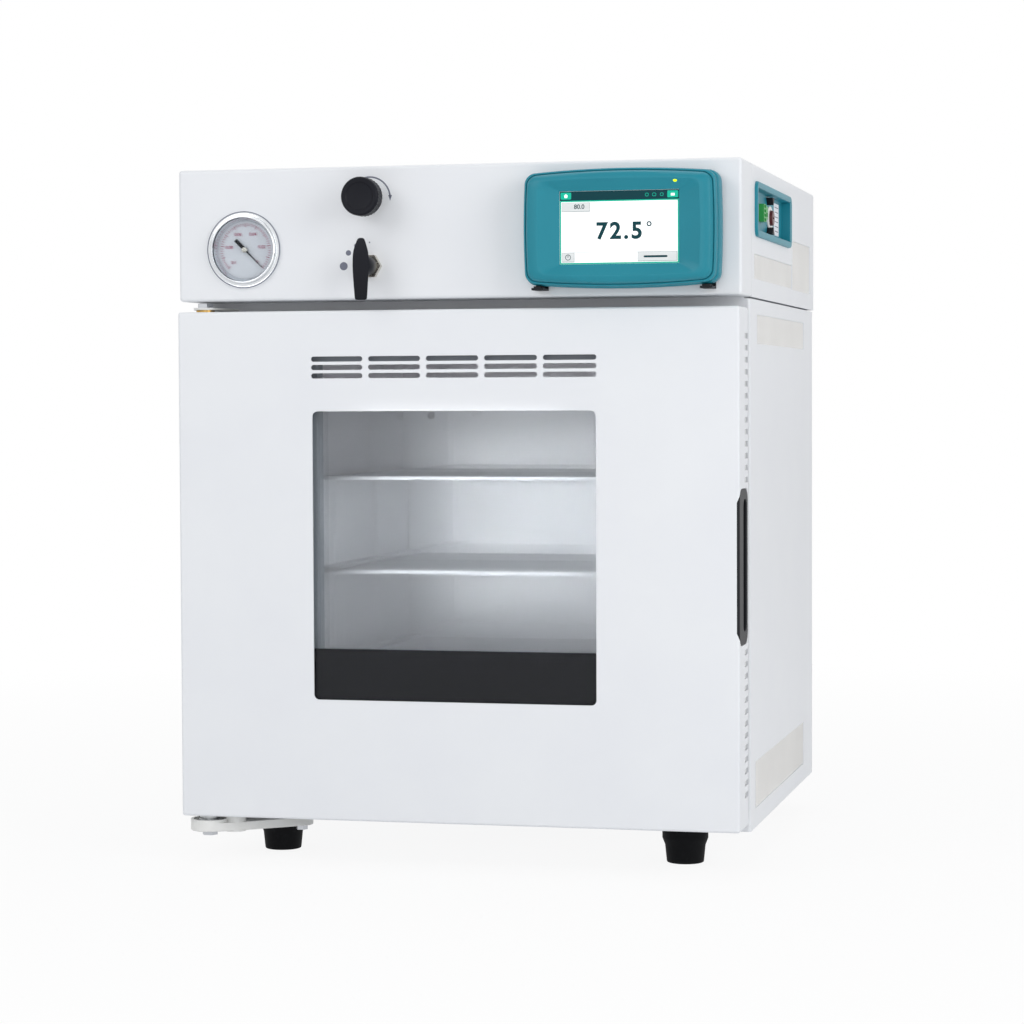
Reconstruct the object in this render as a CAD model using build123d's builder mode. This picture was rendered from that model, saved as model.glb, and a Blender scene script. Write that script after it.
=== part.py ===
from build123d import *
import os

os.makedirs("parts", exist_ok=True)

# A bench vacuum oven, in millimetres. X runs right, Y back and Z up from the bench, as seen from the
# front. A depth is always counted back from the face of the control panel, which stands above the door.

# Vacuum chamber, from which the oven is worked outwards
chamber_width = 302.0
chamber_height = 302.0
chamber_length = 306.0
chamber_wall = 4.0
chamber_back_wall = 6.0
chamber_flange = 8.0
insulation = 35.0
heater_mat = 3.0

# Space between the insulation and the casing
side_space = 74.0
under_space = 109.0
rear_space = 81.0

# Casing
sheet = 1.5
bend = 3.0
side_flange = 13.0
foot_height = 35.0
seam = 0.8
deck_step = 1.5
door_gap = 10.0
control_height = 122.0
control_overhang = 1.0
gauge_inset = 64.4
gauge_rise = 47.4
valve_spread = 121.3
vent_rise = 92.3
vacuum_rise = 30.3
display_inset = 105.0
display_rise = 60.0
riser_spread = 40.7

# Clearances between pieces that move past each other, and of shafts in their bores
fit = 0.3
running = 0.05

# Door and gasket
door_thickness = 48.0
door_proud = 8.0
door_lift = 8.0
gasket_inset = 4.0
gasket_width = 12.0
gasket_height = 11.7
gasket_land = 6.0
inner_glass_thickness = 16.0
outer_glass_thickness = 4.0
glass_margin = 5.0
body_gap = 15.0

# Places along the depth
door_front = -door_proud
door_back = door_front + door_thickness
flange_front = door_back + fit + gasket_height
chamber_rear = flange_front + chamber_length
chamber_shell_rear = chamber_rear + chamber_back_wall
insulation_rear = chamber_shell_rear + insulation
cabinet_depth = insulation_rear + rear_space
body_front = door_back + body_gap
plate_depth = body_front + sheet
rear_depth = cabinet_depth - sheet

# Places across the width
chamber_half = chamber_width / 2
insulation_half = chamber_half + chamber_wall + insulation
body_half = insulation_half + side_space
control_half = body_half + control_overhang
gasket_inner = chamber_half + gasket_inset
gasket_outer = gasket_inner + gasket_width
glass_half = gasket_outer + gasket_land

# Heights over the bench
body_bottom = foot_height
chamber_floor = body_bottom + under_space + insulation + chamber_wall
chamber_roof = chamber_floor + chamber_height
chamber_middle = (chamber_floor + chamber_roof) / 2
glass_rise = gasket_inset + gasket_width + gasket_land
door_bottom = body_bottom + door_lift
door_top = chamber_roof + glass_rise + glass_margin + sheet + 0.5
control_bottom = door_top + door_gap
body_top = control_bottom - deck_step
control_top = control_bottom + control_height

# Places on the control box, seen from the front
gauge_x = gauge_inset - control_half
gauge_z = control_bottom + gauge_rise
valve_x = gauge_x + valve_spread
vent_z = control_bottom + vent_rise
vacuum_z = control_bottom + vacuum_rise
display_x = control_half - display_inset
display_z = control_bottom + display_rise

# The controller reaches furthest to the front and the pump nozzle furthest to the rear
display_reach = 37.0
nozzle_reach = 32.0
face_y = (display_reach - nozzle_reach - cabinet_depth) / 2


def facing(x, height, depth):
    # Sketch plane centred on a place of the front, drawn as seen from the front.
    return Plane(origin=(x, face_y + depth, height), x_dir=(1, 0, 0), z_dir=(0, -1, 0))


def across(depth):
    # The same on the oven's middle line, from the bench up. Extrusions come towards the viewer.
    return facing(0, 0, depth)


def level(height):
    # Sketch plane drawn as seen from above, with the depth as its second direction.
    return Plane(origin=(0, face_y, height), x_dir=(1, 0, 0), z_dir=(0, 0, 1))


def upright(x):
    # Sketch plane drawn as seen from the right, with the depth as its first direction.
    return Plane(origin=(x, face_y, 0), x_dir=(0, 1, 0), z_dir=(1, 0, 0))


def field(first, last, low, high, corner=0.0, mode=Mode.ADD):
    # Rectangle between two places along each direction of the sketch.
    with Locations(((first + last) / 2, (low + high) / 2)):
        if corner > 0:
            RectangleRounded(last - first, high - low, corner, mode=mode)
        else:
            Rectangle(last - first, high - low, mode=mode)


def frame(half_width, low, high, corner=0.0, mode=Mode.ADD):
    # Rectangle centred on the oven between two heights.
    field(-half_width, half_width, low, high, corner, mode)


def spin(x, height, points, mode=Mode.ADD):
    # Round piece on a front-to-back axis, from the corners of its section as radius and depth.
    with BuildSketch(Plane(origin=(x, face_y, height), x_dir=(1, 0, 0), z_dir=(0, 0, 1))) as section:
        with BuildLine():
            Polyline(*points, close=True)
        make_face()
    revolve(section.sketch, axis=Axis((x, face_y, height), (0, 1, 0)), mode=mode)


def hexagon(across_flats):
    # Hexagon by its width over the flats.
    RegularPolygon(across_flats / 2, 6, major_radius=False)


def bowed(width, height, bow_out, bow_up, corner, mode=Mode.ADD):
    # Outline whose four sides swell in the middle, as on a moulded controller housing.
    right, top = width / 2, height / 2
    side, rim = right - bow_out, top - bow_up
    with BuildSketch(mode=Mode.PRIVATE) as shape:
        with BuildLine():
            ThreePointArc((-side, rim), (0, top), (side, rim))
            ThreePointArc((side, rim), (right, 0), (side, -rim))
            ThreePointArc((side, -rim), (0, -top), (-side, -rim))
            ThreePointArc((-side, -rim), (-right, 0), (-side, rim))
        make_face()
        fillet(vertices(), corner)
    add(shape.sketch_local, mode=mode)


def edges_at(part, along, place, of):
    # Edges of a part along one axis whose middle lies at a place on another axis.
    picked = [e for e in part.edges().filter_by(along) if abs(getattr(e.center(), of) - place) < 0.01]
    return ShapeList(picked)


# Side panels of the lower body: trays folded from one sheet, with louvre openings
grille_rim = 2.0
low_inset = (29.0, 69.0)
low_heights = (17.5, 61.0)
high_inset = (41.0, 68.0)
high_drops = (40.5, 13.5)
body_louvre_low = (
    body_front + low_inset[0],
    cabinet_depth - low_inset[1],
    body_bottom + low_heights[0],
    body_bottom + low_heights[1],
)
body_louvre_high = (
    body_front + high_inset[0],
    cabinet_depth - high_inset[1],
    body_top - high_drops[0],
    body_top - high_drops[1],
)
with BuildPart() as side_panel_right:
    with BuildSketch(level(body_bottom)):
        field(body_half - side_flange, body_half, body_front, cabinet_depth)
    extrude(amount=body_top - body_bottom)
    fillet(edges_at(side_panel_right.part, Axis.Z, body_half, "X"), bend)
    offset(amount=-sheet, openings=faces().sort_by(Axis.X)[0])
    with BuildSketch(upright(body_half)):
        field(*body_louvre_low)
        field(*body_louvre_high)
    extrude(amount=-sheet, mode=Mode.SUBTRACT)
side_panel_right.part.label = "side_panel_right"
export_step(side_panel_right.part, "parts/side_panel_right.step")

with BuildPart() as side_panel_left:
    mirror(side_panel_right.part, about=Plane.YZ)
side_panel_left.part.label = "side_panel_left"
export_step(side_panel_left.part, "parts/side_panel_left.step")

# Slotted inserts behind the louvre openings of the body and of the control box
front_reach = (17.0, 263.0)
front_rises = (17.0, 40.0)
louvre_bridge = 4.0
rear_inset = 28.0
rear_rises = (16.0, 65.0)
control_louvre_front = (
    body_front + front_reach[0],
    body_front + front_reach[1],
    control_bottom + front_rises[0],
    control_bottom + front_rises[1],
)
control_louvre_rear = (
    control_louvre_front[1] + louvre_bridge,
    cabinet_depth - rear_inset,
    control_bottom + rear_rises[0],
    control_bottom + rear_rises[1],
)
louvre_pitch = 14.5
louvre_slot = 5.0
grille_sheet = 1.2
with BuildPart() as grilles_right:
    for half, louvre in (
        (body_half, body_louvre_low),
        (body_half, body_louvre_high),
        (control_half, control_louvre_front),
        (control_half, control_louvre_rear),
    ):
        first, last, low, high = louvre
        slots = int((last - first - louvre_slot) // louvre_pitch) + 1
        with BuildSketch(upright(half - sheet)):
            field(first - grille_rim, last + grille_rim, low - grille_rim, high + grille_rim)
            with Locations(((first + last) / 2, (low + high) / 2)):
                with GridLocations(louvre_pitch, 1, slots, 1):
                    Rectangle(louvre_slot, high - low - 2 * sheet, mode=Mode.SUBTRACT)
        extrude(amount=-grille_sheet)
with BuildPart() as ventilation_grilles:
    add(grilles_right.part)
    mirror(grilles_right.part, about=Plane.YZ)
ventilation_grilles.part.label = "ventilation_grilles"
export_step(ventilation_grilles.part, "parts/ventilation_grilles.step")

# Feet: moulded rubber with a washer recess underneath
foot_x = body_half - 67
foot_front = body_front + 35
foot_rear = cabinet_depth - 35
foot_radius = 21.5
foot_waist = 19.0
foot_tip = 17.25
foot_rim = 12.5
foot_bevel = 5.5
foot_recess = (8.0, 6.0)
with BuildPart() as foot:
    with BuildSketch(Plane.XZ):
        with BuildLine():
            Polyline(
                (0, foot_height),
                (foot_radius, foot_height),
                (foot_radius, foot_height - foot_rim),
                (foot_waist, foot_height - foot_rim - foot_bevel),
                (foot_tip, 0),
                (foot_recess[0], 0),
                foot_recess,
                (0, foot_recess[1]),
                close=True,
            )
        make_face()
    revolve(axis=Axis.Z)
with BuildPart() as feet:
    for x in (-foot_x, foot_x):
        for depth in (foot_front, foot_rear):
            with Locations((x, face_y + depth, 0)):
                add(foot.part)
feet.part.label = "feet"
export_step(feet.part, "parts/feet.step")

# Base plate: a tray with turned-up lips, and two hat channels that carry the chamber
base_sheet = 2.0
base_lip = 15.0
base_half = body_half - side_flange
cradle_x = 95.0
cradle_width = 40.0
cradle_front = flange_front + 20
cradle_rear = chamber_rear - 20
bracket_bolt = 3.0
bracket_bolts = [(-foot_x - 43, foot_front - 18), (-foot_x + 27, foot_front - 25)]
vent_slot = (40.0, 5.0)
with BuildPart() as base_plate:
    with BuildSketch(level(body_bottom)):
        field(-base_half, base_half, plate_depth, rear_depth - sheet)
    extrude(amount=base_lip)
    with BuildSketch(level(body_bottom + base_sheet)):
        field(-base_half, base_half, plate_depth + 2 * sheet, rear_depth - 3 * sheet)
    extrude(amount=base_lip, mode=Mode.SUBTRACT)
    with BuildSketch(across(cradle_front)):
        for side in (-1, 1):
            first = side * cradle_x - cradle_width / 2
            last = side * cradle_x + cradle_width / 2
            low, high = body_bottom + base_sheet, body_bottom + under_space
            field(first, last, low, high)
            field(first + base_sheet, last - base_sheet, low, high - base_sheet, mode=Mode.SUBTRACT)
    extrude(amount=cradle_front - cradle_rear)
    with BuildSketch(level(body_bottom)):
        for x, depth in bracket_bolts:
            with Locations((x, depth)):
                Circle(bracket_bolt + running)
        with Locations((0, (plate_depth + rear_depth) / 2)):
            with GridLocations(60, 60, 2, 4):
                SlotOverall(*vent_slot)
    extrude(amount=base_sheet, mode=Mode.SUBTRACT)
base_plate.part.label = "base_plate"
export_step(base_plate.part, "parts/base_plate.step")

# Door hinge line
hinge_inset = 19.0
hinge_x = hinge_inset - body_half
hinge_depth = (door_front + door_back) / 2
pin = 4.0
bush = 6.0
bush_flange = 8.7
top_bush_rise = 2.2
top_plate_low = door_top + top_bush_rise + fit
top_plate = 2.0
top_tab = 2.0
top_tab_low = body_top - 17
tab_screw = 2.5
tab_screws = [(hinge_x + offset, body_top - 11) for offset in (2.0, 14.0)]

# Front flange of the chamber
flange_rise = glass_rise + 3
flange_half = chamber_half + flange_rise
flange_low = chamber_floor - flange_rise
flange_high = chamber_roof + flange_rise
flange_corner = 12.0

# Top deck: the lid of the lower body, on which the control box stands
deck_half = body_half - 6
deck_lip = 16.0
tube_hole = 9.0
riser_x = valve_x - riser_spread
riser_depth = cabinet_depth - 40
with BuildPart() as top_deck:
    with BuildSketch(level(body_top)):
        field(-deck_half, deck_half, body_front, cabinet_depth - 2)
        with Locations((-riser_x, riser_depth), (riser_x, riser_depth)):
            Circle(tube_hole, mode=Mode.SUBTRACT)
    extrude(amount=deck_step)
    with BuildSketch(across(body_front)):
        frame(base_half, body_top - deck_lip, body_top)
        frame(flange_half + fit, flange_low, flange_high + fit, mode=Mode.SUBTRACT)
        with Locations(*tab_screws):
            Circle(tab_screw + running, mode=Mode.SUBTRACT)
    extrude(amount=-sheet)
top_deck.part.label = "top_deck"
export_step(top_deck.part, "parts/top_deck.step")

# Stainless front plate round the mouth of the chamber
keeper_x = body_half - 29
keeper_heights = (chamber_floor - 20, chamber_roof)
with BuildPart() as front_plate:
    with BuildSketch(across(plate_depth)):
        frame(body_half - bend, body_bottom + sheet, body_top - sheet)
        frame(flange_half + fit, flange_low - fit, flange_high + fit, flange_corner, Mode.SUBTRACT)
        frame(base_half, body_bottom + sheet, body_bottom + base_lip, mode=Mode.SUBTRACT)
        with Locations(*tab_screws):
            Circle(tab_screw + running, mode=Mode.SUBTRACT)
    extrude(amount=-sheet)
front_plate.part.label = "front_plate"
export_step(front_plate.part, "parts/front_plate.step")

# Rear panel of the lower body, with slots that let the warm air out
with BuildPart() as rear_panel:
    with BuildSketch(across(rear_depth)):
        frame(body_half - bend, body_bottom + sheet, body_top - sheet)
        with Locations((0, body_top - 60), (0, body_bottom + 60)):
            with GridLocations(54, 14, 7, 2):
                SlotOverall(*vent_slot, mode=Mode.SUBTRACT)
    extrude(amount=sheet)
rear_panel.part.label = "rear_panel"
export_step(rear_panel.part, "parts/rear_panel.step")

# Vacuum chamber: welded box with a thick front flange and two sleeves at the rear
chamber_corner = 5.0
port_sleeve = 10.0
port_bore = 4.0
port_height = chamber_roof - 70
port_places = [(riser_x, port_height), (-riser_x, port_height)]
with BuildPart() as vacuum_chamber:
    with BuildSketch(across(flange_front)):
        frame(flange_half, flange_low, flange_high, flange_corner)
    extrude(amount=-chamber_flange)
    with BuildSketch(across(flange_front)):
        outside = chamber_half + chamber_wall
        low, high = chamber_floor - chamber_wall, chamber_roof + chamber_wall
        frame(outside, low, high, chamber_corner + chamber_wall)
    extrude(amount=flange_front - chamber_shell_rear)
    with BuildSketch(across(flange_front)):
        frame(chamber_half, chamber_floor, chamber_roof, chamber_corner)
    extrude(amount=-chamber_length, mode=Mode.SUBTRACT)
    with BuildSketch(across(chamber_shell_rear)):
        with Locations(*port_places):
            Circle(port_sleeve)
    extrude(amount=chamber_shell_rear - insulation_rear - 5)
    with BuildSketch(across(chamber_rear)):
        with Locations(*port_places):
            Circle(port_bore)
    extrude(amount=chamber_rear - insulation_rear - 5, mode=Mode.SUBTRACT)
vacuum_chamber.part.label = "vacuum_chamber"
export_step(vacuum_chamber.part, "parts/vacuum_chamber.step")

# Heater mats on the four outer walls of the chamber
mat_margin = 22.0
mat_front = flange_front + chamber_flange + mat_margin
mat_rear = chamber_rear - mat_margin
with BuildPart() as heater_mats:
    for side in (-1, 1):
        wall_x = side * (chamber_half + chamber_wall)
        with BuildSketch(upright(wall_x)):
            field(mat_front, mat_rear, chamber_floor + mat_margin, chamber_roof - mat_margin)
        extrude(amount=side * heater_mat)
    for height, direction in (
        (chamber_floor - chamber_wall, -1),
        (chamber_roof + chamber_wall, 1),
    ):
        with BuildSketch(level(height)):
            field(mat_margin - chamber_half, chamber_half - mat_margin, mat_front, mat_rear)
        extrude(amount=direction * heater_mat)
heater_mats.part.label = "heater_mats"
export_step(heater_mats.part, "parts/heater_mats.step")

# Temperature probe against the rear wall of the chamber, with its connection head outside the insulation
probe_place = (60.0, chamber_roof - 50)
probe_sheath = 2.5
probe_head = (7.0, 22.0)
with BuildPart() as temperature_probe:
    with BuildSketch(across(chamber_shell_rear)):
        with Locations(probe_place):
            Circle(probe_sheath)
    extrude(amount=chamber_shell_rear - insulation_rear)
    with BuildSketch(across(insulation_rear)):
        with Locations(probe_place):
            RegularPolygon(probe_head[0], 6)
    extrude(amount=-probe_head[1])
temperature_probe.part.label = "temperature_probe"
export_step(temperature_probe.part, "parts/temperature_probe.step")

# Insulation blanket round the chamber and its heater mats
roof_insulation = insulation - 5
with BuildPart() as insulation_blanket:
    with BuildSketch(across(flange_front + chamber_flange)):
        low = chamber_floor - chamber_wall - insulation
        high = chamber_roof + chamber_wall + roof_insulation
        frame(insulation_half, low, high)
    extrude(amount=flange_front + chamber_flange - insulation_rear)
    with BuildSketch(across(flange_front + chamber_flange)):
        mat_half = chamber_half + chamber_wall + heater_mat
        frame(mat_half, chamber_floor - chamber_wall - heater_mat, chamber_roof + chamber_wall + heater_mat)
    extrude(amount=flange_front + chamber_flange - chamber_shell_rear, mode=Mode.SUBTRACT)
    with BuildSketch(across(chamber_shell_rear)):
        with Locations(*port_places):
            Circle(port_sleeve)
        with Locations(probe_place):
            Circle(probe_sheath)
    extrude(amount=chamber_shell_rear - insulation_rear, mode=Mode.SUBTRACT)
insulation_blanket.part.label = "insulation_blanket"
export_step(insulation_blanket.part, "parts/insulation_blanket.step")

# Silicone gasket: a base strip with a narrower lip that meets the inner glass
gasket_lip = 5.0
gasket_base = 6.0
gasket_corner = 8.0
with BuildPart() as chamber_gasket:
    rise = gasket_inset
    lip_step = (gasket_width - gasket_lip) / 2
    for depth, inset, length in (
        (flange_front, 0, gasket_base),
        (flange_front - gasket_base, lip_step, gasket_height - gasket_base),
    ):
        with BuildSketch(across(depth)):
            outer, inner = gasket_width - inset, inset
            low, high = chamber_floor - rise, chamber_roof + rise
            frame(gasket_inner + outer, low - outer, high + outer, gasket_corner + outer)
            frame(gasket_inner + inner, low - inner, high + inner, gasket_corner + inner, Mode.SUBTRACT)
        extrude(amount=length)
    fillet(chamber_gasket.part.faces().sort_by(Axis.Y)[0].edges(), gasket_lip / 2 - 0.6)
chamber_gasket.part.label = "chamber_gasket"
export_step(chamber_gasket.part, "parts/chamber_gasket.step")

# Shelves: aluminium plates bent to an inverted U with in-turned feet, the upper standing on the lower
shelf_sheet = 3.0
shelf_bend = 4.0
shelf_foot = 16.0
shelf_height = 88.0
shelf_side_gap = 3.0
shelf_front = flange_front + 10
shelf_rear = chamber_rear - 1
shelf_half = chamber_half - shelf_side_gap
shelf_floors = {}
shelf_floors["shelf_lower"] = chamber_floor + fit
shelf_floors["shelf_upper"] = shelf_floors["shelf_lower"] + shelf_height + fit
for name, low in shelf_floors.items():
    high = low + shelf_height
    with BuildPart() as shelf:
        with BuildSketch(across(shelf_front)):
            frame(shelf_half, low, high, shelf_bend)
            inside = (low + shelf_sheet, high - shelf_sheet)
            frame(shelf_half - shelf_sheet, *inside, shelf_bend - shelf_sheet, Mode.SUBTRACT)
            frame(shelf_half - shelf_foot, low - 1, low + 2 * shelf_sheet, mode=Mode.SUBTRACT)
        extrude(amount=shelf_front - shelf_rear)
    shelf.part.label = name
    export_step(shelf.part, f"parts/{name}.step")

# Door skin: a pan whose sides turn back, with window, ventilation slots and notches along its rear edges
door_bend = 2.5
window_half = 133.5
window_drop = 28.0
window_height = 266.5
window_low = chamber_floor - window_drop
window_high = window_low + window_height
window_corner = 5.0
slot_length = 49.4
slot_width = 4.8
slot_columns = (5, 54.8)
slot_rows = (3, 7.7)
slot_rise = 40.3
slot_middle = window_high + slot_rise
handle_rise = 167.0
handle_height = 141.0
handle_low = door_bottom + handle_rise
handle_high = handle_low + handle_height
handle_corner = 12.0
handle_reach = 28.0
handle_face = 2.5
notch_width = 5.0
notch_depth = 18.0
notch_pitch = 10.8
notch_count = 13
notch_start = 7.5
with BuildPart() as door_outer_skin:
    with BuildSketch(across(door_back)):
        frame(body_half, door_bottom, door_top)
    extrude(amount=door_thickness)
    door_face = faces().sort_by(Axis.Y)[0]
    fillet(door_face.edges() + edges().filter_by(Axis.Y), door_bend)
    offset(amount=-sheet, openings=faces().sort_by(Axis.Y)[-1])
    with BuildSketch(across(door_front)):
        frame(window_half, window_low, window_high, window_corner)
        with Locations((0, slot_middle)):
            with GridLocations(slot_columns[1], slot_rows[1], slot_columns[0], slot_rows[0]):
                SlotOverall(slot_length, slot_width)
    extrude(amount=-sheet, mode=Mode.SUBTRACT)
    with BuildSketch(upright(body_half)):
        field(door_front, door_back, handle_low, handle_high, handle_corner)
    extrude(amount=-handle_face, mode=Mode.SUBTRACT)
    with BuildSketch(upright(body_half)):
        for i in range(notch_count):
            away = notch_start + i * notch_pitch
            for height in (handle_high + away, handle_low - away):
                low, high = height - notch_width / 2, height + notch_width / 2
                field(door_back - notch_depth, door_back, low, high)
    extrude(amount=-sheet, mode=Mode.SUBTRACT)
    with BuildSketch(level(door_bottom)):
        with Locations((hinge_x, hinge_depth)):
            Circle(bush)
    extrude(amount=door_top - door_bottom, mode=Mode.SUBTRACT)
door_outer_skin.part.label = "door_outer_skin"
export_step(door_outer_skin.part, "parts/door_outer_skin.step")

# Handle: a moulded pocket in the door's free edge, as deep as the door is thick
pocket_low = handle_low + 12
pocket_high = handle_high - 10
pocket_front = hinge_depth - 1
pocket_rear = hinge_depth + 17
pocket_depth = 22.0
pocket_corner = 7.0
with BuildPart() as door_handle:
    with BuildSketch(upright(body_half)):
        field(door_front, door_back, handle_low, handle_high, handle_corner)
    extrude(amount=-handle_face)
    fillet(faces().sort_by(Axis.X)[-1].edges(), 2)
    with BuildSketch(upright(body_half - handle_face)):
        field(door_front + sheet, door_back - sheet, handle_low + 3, handle_high - 3, handle_corner - 4)
    extrude(amount=handle_face - handle_reach)
    with BuildSketch(upright(body_half)):
        field(pocket_front, pocket_rear, pocket_low, pocket_high, pocket_corner)
    extrude(amount=-pocket_depth, mode=Mode.SUBTRACT)
    fillet(door_handle.part.faces().sort_by(Axis.X)[-1].inner_wires()[0].edges(), 1.2)
door_handle.part.label = "door_handle"
export_step(door_handle.part, "parts/door_handle.step")

# Outer glass and the two rails that hold it against the back of the skin
glass_lap = 16.0
rail_sheet = 1.2
glass_front = door_front + sheet
glass_rear = glass_front + outer_glass_thickness
outer_glass_half = window_half + glass_lap
with BuildPart() as door_outer_glass:
    with BuildSketch(across(glass_rear)):
        frame(outer_glass_half, window_low - glass_lap, window_high + glass_lap, 3)
    extrude(amount=outer_glass_thickness)
door_outer_glass.part.label = "door_outer_glass"
export_step(door_outer_glass.part, "parts/door_outer_glass.step")

# Clips screwed to the door that hold the inner glass by its edge
clip_size = (16.0, 30.0)
clip_short = 10.0
clip_lap = 4.0
clip_sheet = 2.5
clip_reach = glass_half - clip_lap + clip_size[0] / 2
clip_spread = 110.0
with BuildPart() as glass_retainers:
    for side in (-1, 1):
        with BuildSketch(level(window_low)):
            x = outer_glass_half
            with BuildLine():
                Polyline(
                    (side * (x - 9), glass_rear),
                    (side * x, glass_rear),
                    (side * x, glass_front),
                    (side * (x + 11), glass_front),
                    (side * (x + 11), glass_front + rail_sheet),
                    (side * (x + rail_sheet), glass_front + rail_sheet),
                    (side * (x + rail_sheet), glass_rear + rail_sheet),
                    (side * (x - 9), glass_rear + rail_sheet),
                    close=True,
                )
            make_face()
        extrude(amount=window_high - window_low)
    with BuildSketch(across(door_back)):
        with Locations((0, chamber_middle)):
            for side in (-1, 1):
                with Locations((side * clip_reach, -clip_spread), (side * clip_reach, clip_spread)):
                    Rectangle(*clip_size)
            rise = chamber_height / 2 + glass_rise - clip_lap + clip_short / 2
            for side in (-1, 1):
                with Locations((-clip_spread, side * rise), (clip_spread, side * rise)):
                    Rectangle(clip_size[1], clip_short)
    extrude(amount=-clip_sheet)
glass_retainers.part.label = "glass_retainers"
export_step(glass_retainers.part, "parts/glass_retainers.step")

# Inner glass: thick toughened pane that closes the chamber
glass_low = chamber_floor - glass_rise
glass_high = chamber_roof + glass_rise
with BuildPart() as door_inner_glass:
    with BuildSketch(across(door_back)):
        frame(glass_half, glass_low, glass_high, 6)
    extrude(amount=inner_glass_thickness)
    chamfer(faces().sort_by(Axis.Y)[0].edges() + faces().sort_by(Axis.Y)[-1].edges(), 1)
door_inner_glass.part.label = "door_inner_glass"
export_step(door_inner_glass.part, "parts/door_inner_glass.step")

# Window frame: folded sheet box behind the outer glass, whose jambs run back to the inner glass
frame_front = hinge_depth - 10
jamb_half = chamber_half - 18
jamb_low = chamber_floor + 17
jamb_high = chamber_roof - 19
inner_front = door_back - inner_glass_thickness
frame_half = glass_half + glass_margin
frame_low = glass_low - glass_margin
frame_high = glass_high + glass_margin
pan_depth = door_back - sheet
with BuildPart() as window_frame:
    with BuildSketch(across(pan_depth)):
        frame(frame_half, frame_low, frame_high, 2 * sheet)
        frame(frame_half - sheet, frame_low + sheet, frame_high - sheet, sheet, Mode.SUBTRACT)
    extrude(amount=pan_depth - frame_front)
    with BuildSketch(across(frame_front)):
        frame(frame_half, frame_low, frame_high, 2 * sheet)
    extrude(amount=-sheet)
    with BuildSketch(across(inner_front)):
        frame(jamb_half + sheet, jamb_low - sheet, jamb_high + sheet, 2 * sheet)
    extrude(amount=inner_front - frame_front)
    with BuildSketch(across(inner_front)):
        frame(jamb_half, jamb_low, jamb_high, sheet)
    extrude(amount=inner_front - frame_front, mode=Mode.SUBTRACT)
window_frame.part.label = "window_frame"
export_step(window_frame.part, "parts/window_frame.step")

# Inner pan: closes the back of the door round the inner glass
pan_flange = 6.0
pan_gap = 0.2
magnet_radius = 9.0
with BuildPart() as door_inner_pan:
    inside = body_half - sheet - pan_gap
    low, high = door_bottom + sheet + pan_gap, door_top - sheet - pan_gap
    with BuildSketch(across(door_back)):
        frame(inside, low, high, door_bend - sheet)
    extrude(amount=sheet)
    with BuildSketch(across(pan_depth)):
        frame(inside, low, high, door_bend - sheet)
        frame(inside - sheet, low + sheet, high - sheet, mode=Mode.SUBTRACT)
        frame(frame_half, frame_low, frame_high, mode=Mode.SUBTRACT)
    extrude(amount=pan_flange)
    with BuildSketch(across(door_back)):
        frame(glass_half + fit, glass_low - fit, glass_high + fit, 6)
        with Locations(*[(keeper_x, height) for height in keeper_heights]):
            Circle(magnet_radius)
    extrude(amount=sheet, mode=Mode.SUBTRACT)
    with BuildSketch(upright(body_half)):
        field(0, door_back, handle_low - fit, handle_high + fit)
    extrude(amount=-handle_reach - fit, mode=Mode.SUBTRACT)
door_inner_pan.part.label = "door_inner_pan"
export_step(door_inner_pan.part, "parts/door_inner_pan.step")

# Hinge blocks inside the door and the flanged bushes that they hold
block_height = 24.0
block_last = hinge_x + 17
block_rear = pan_depth - pan_flange - pan_gap
bush_rise = 1.0
with BuildPart() as door_hinge_blocks:
    for low in (door_bottom + sheet, door_top - sheet - block_height):
        with BuildSketch(level(low)):
            field(sheet + door_bend - body_half, block_last, glass_front + door_bend, block_rear)
            with Locations((hinge_x, hinge_depth)):
                Circle(bush, mode=Mode.SUBTRACT)
        extrude(amount=block_height)
door_hinge_blocks.part.label = "door_hinge_blocks"
export_step(door_hinge_blocks.part, "parts/door_hinge_blocks.step")

with BuildPart() as hinge_bushes:
    for low, rim_low, rim in (
        (door_bottom, door_bottom - bush_rise, bush_rise),
        (door_top - sheet - block_height, door_top, top_bush_rise),
    ):
        with BuildSketch(level(low)):
            with Locations((hinge_x, hinge_depth)):
                Circle(bush)
        extrude(amount=block_height + sheet)
        with BuildSketch(level(rim_low)):
            with Locations((hinge_x, hinge_depth)):
                Circle(bush_flange)
        extrude(amount=rim)
    with BuildSketch(level(door_bottom - bush_rise)):
        with Locations((hinge_x, hinge_depth)):
            Circle(pin + running)
    extrude(amount=door_top - door_bottom + bush_rise + top_bush_rise, mode=Mode.SUBTRACT)
hinge_bushes.part.label = "hinge_bushes"
export_step(hinge_bushes.part, "parts/hinge_bushes.step")

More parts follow.
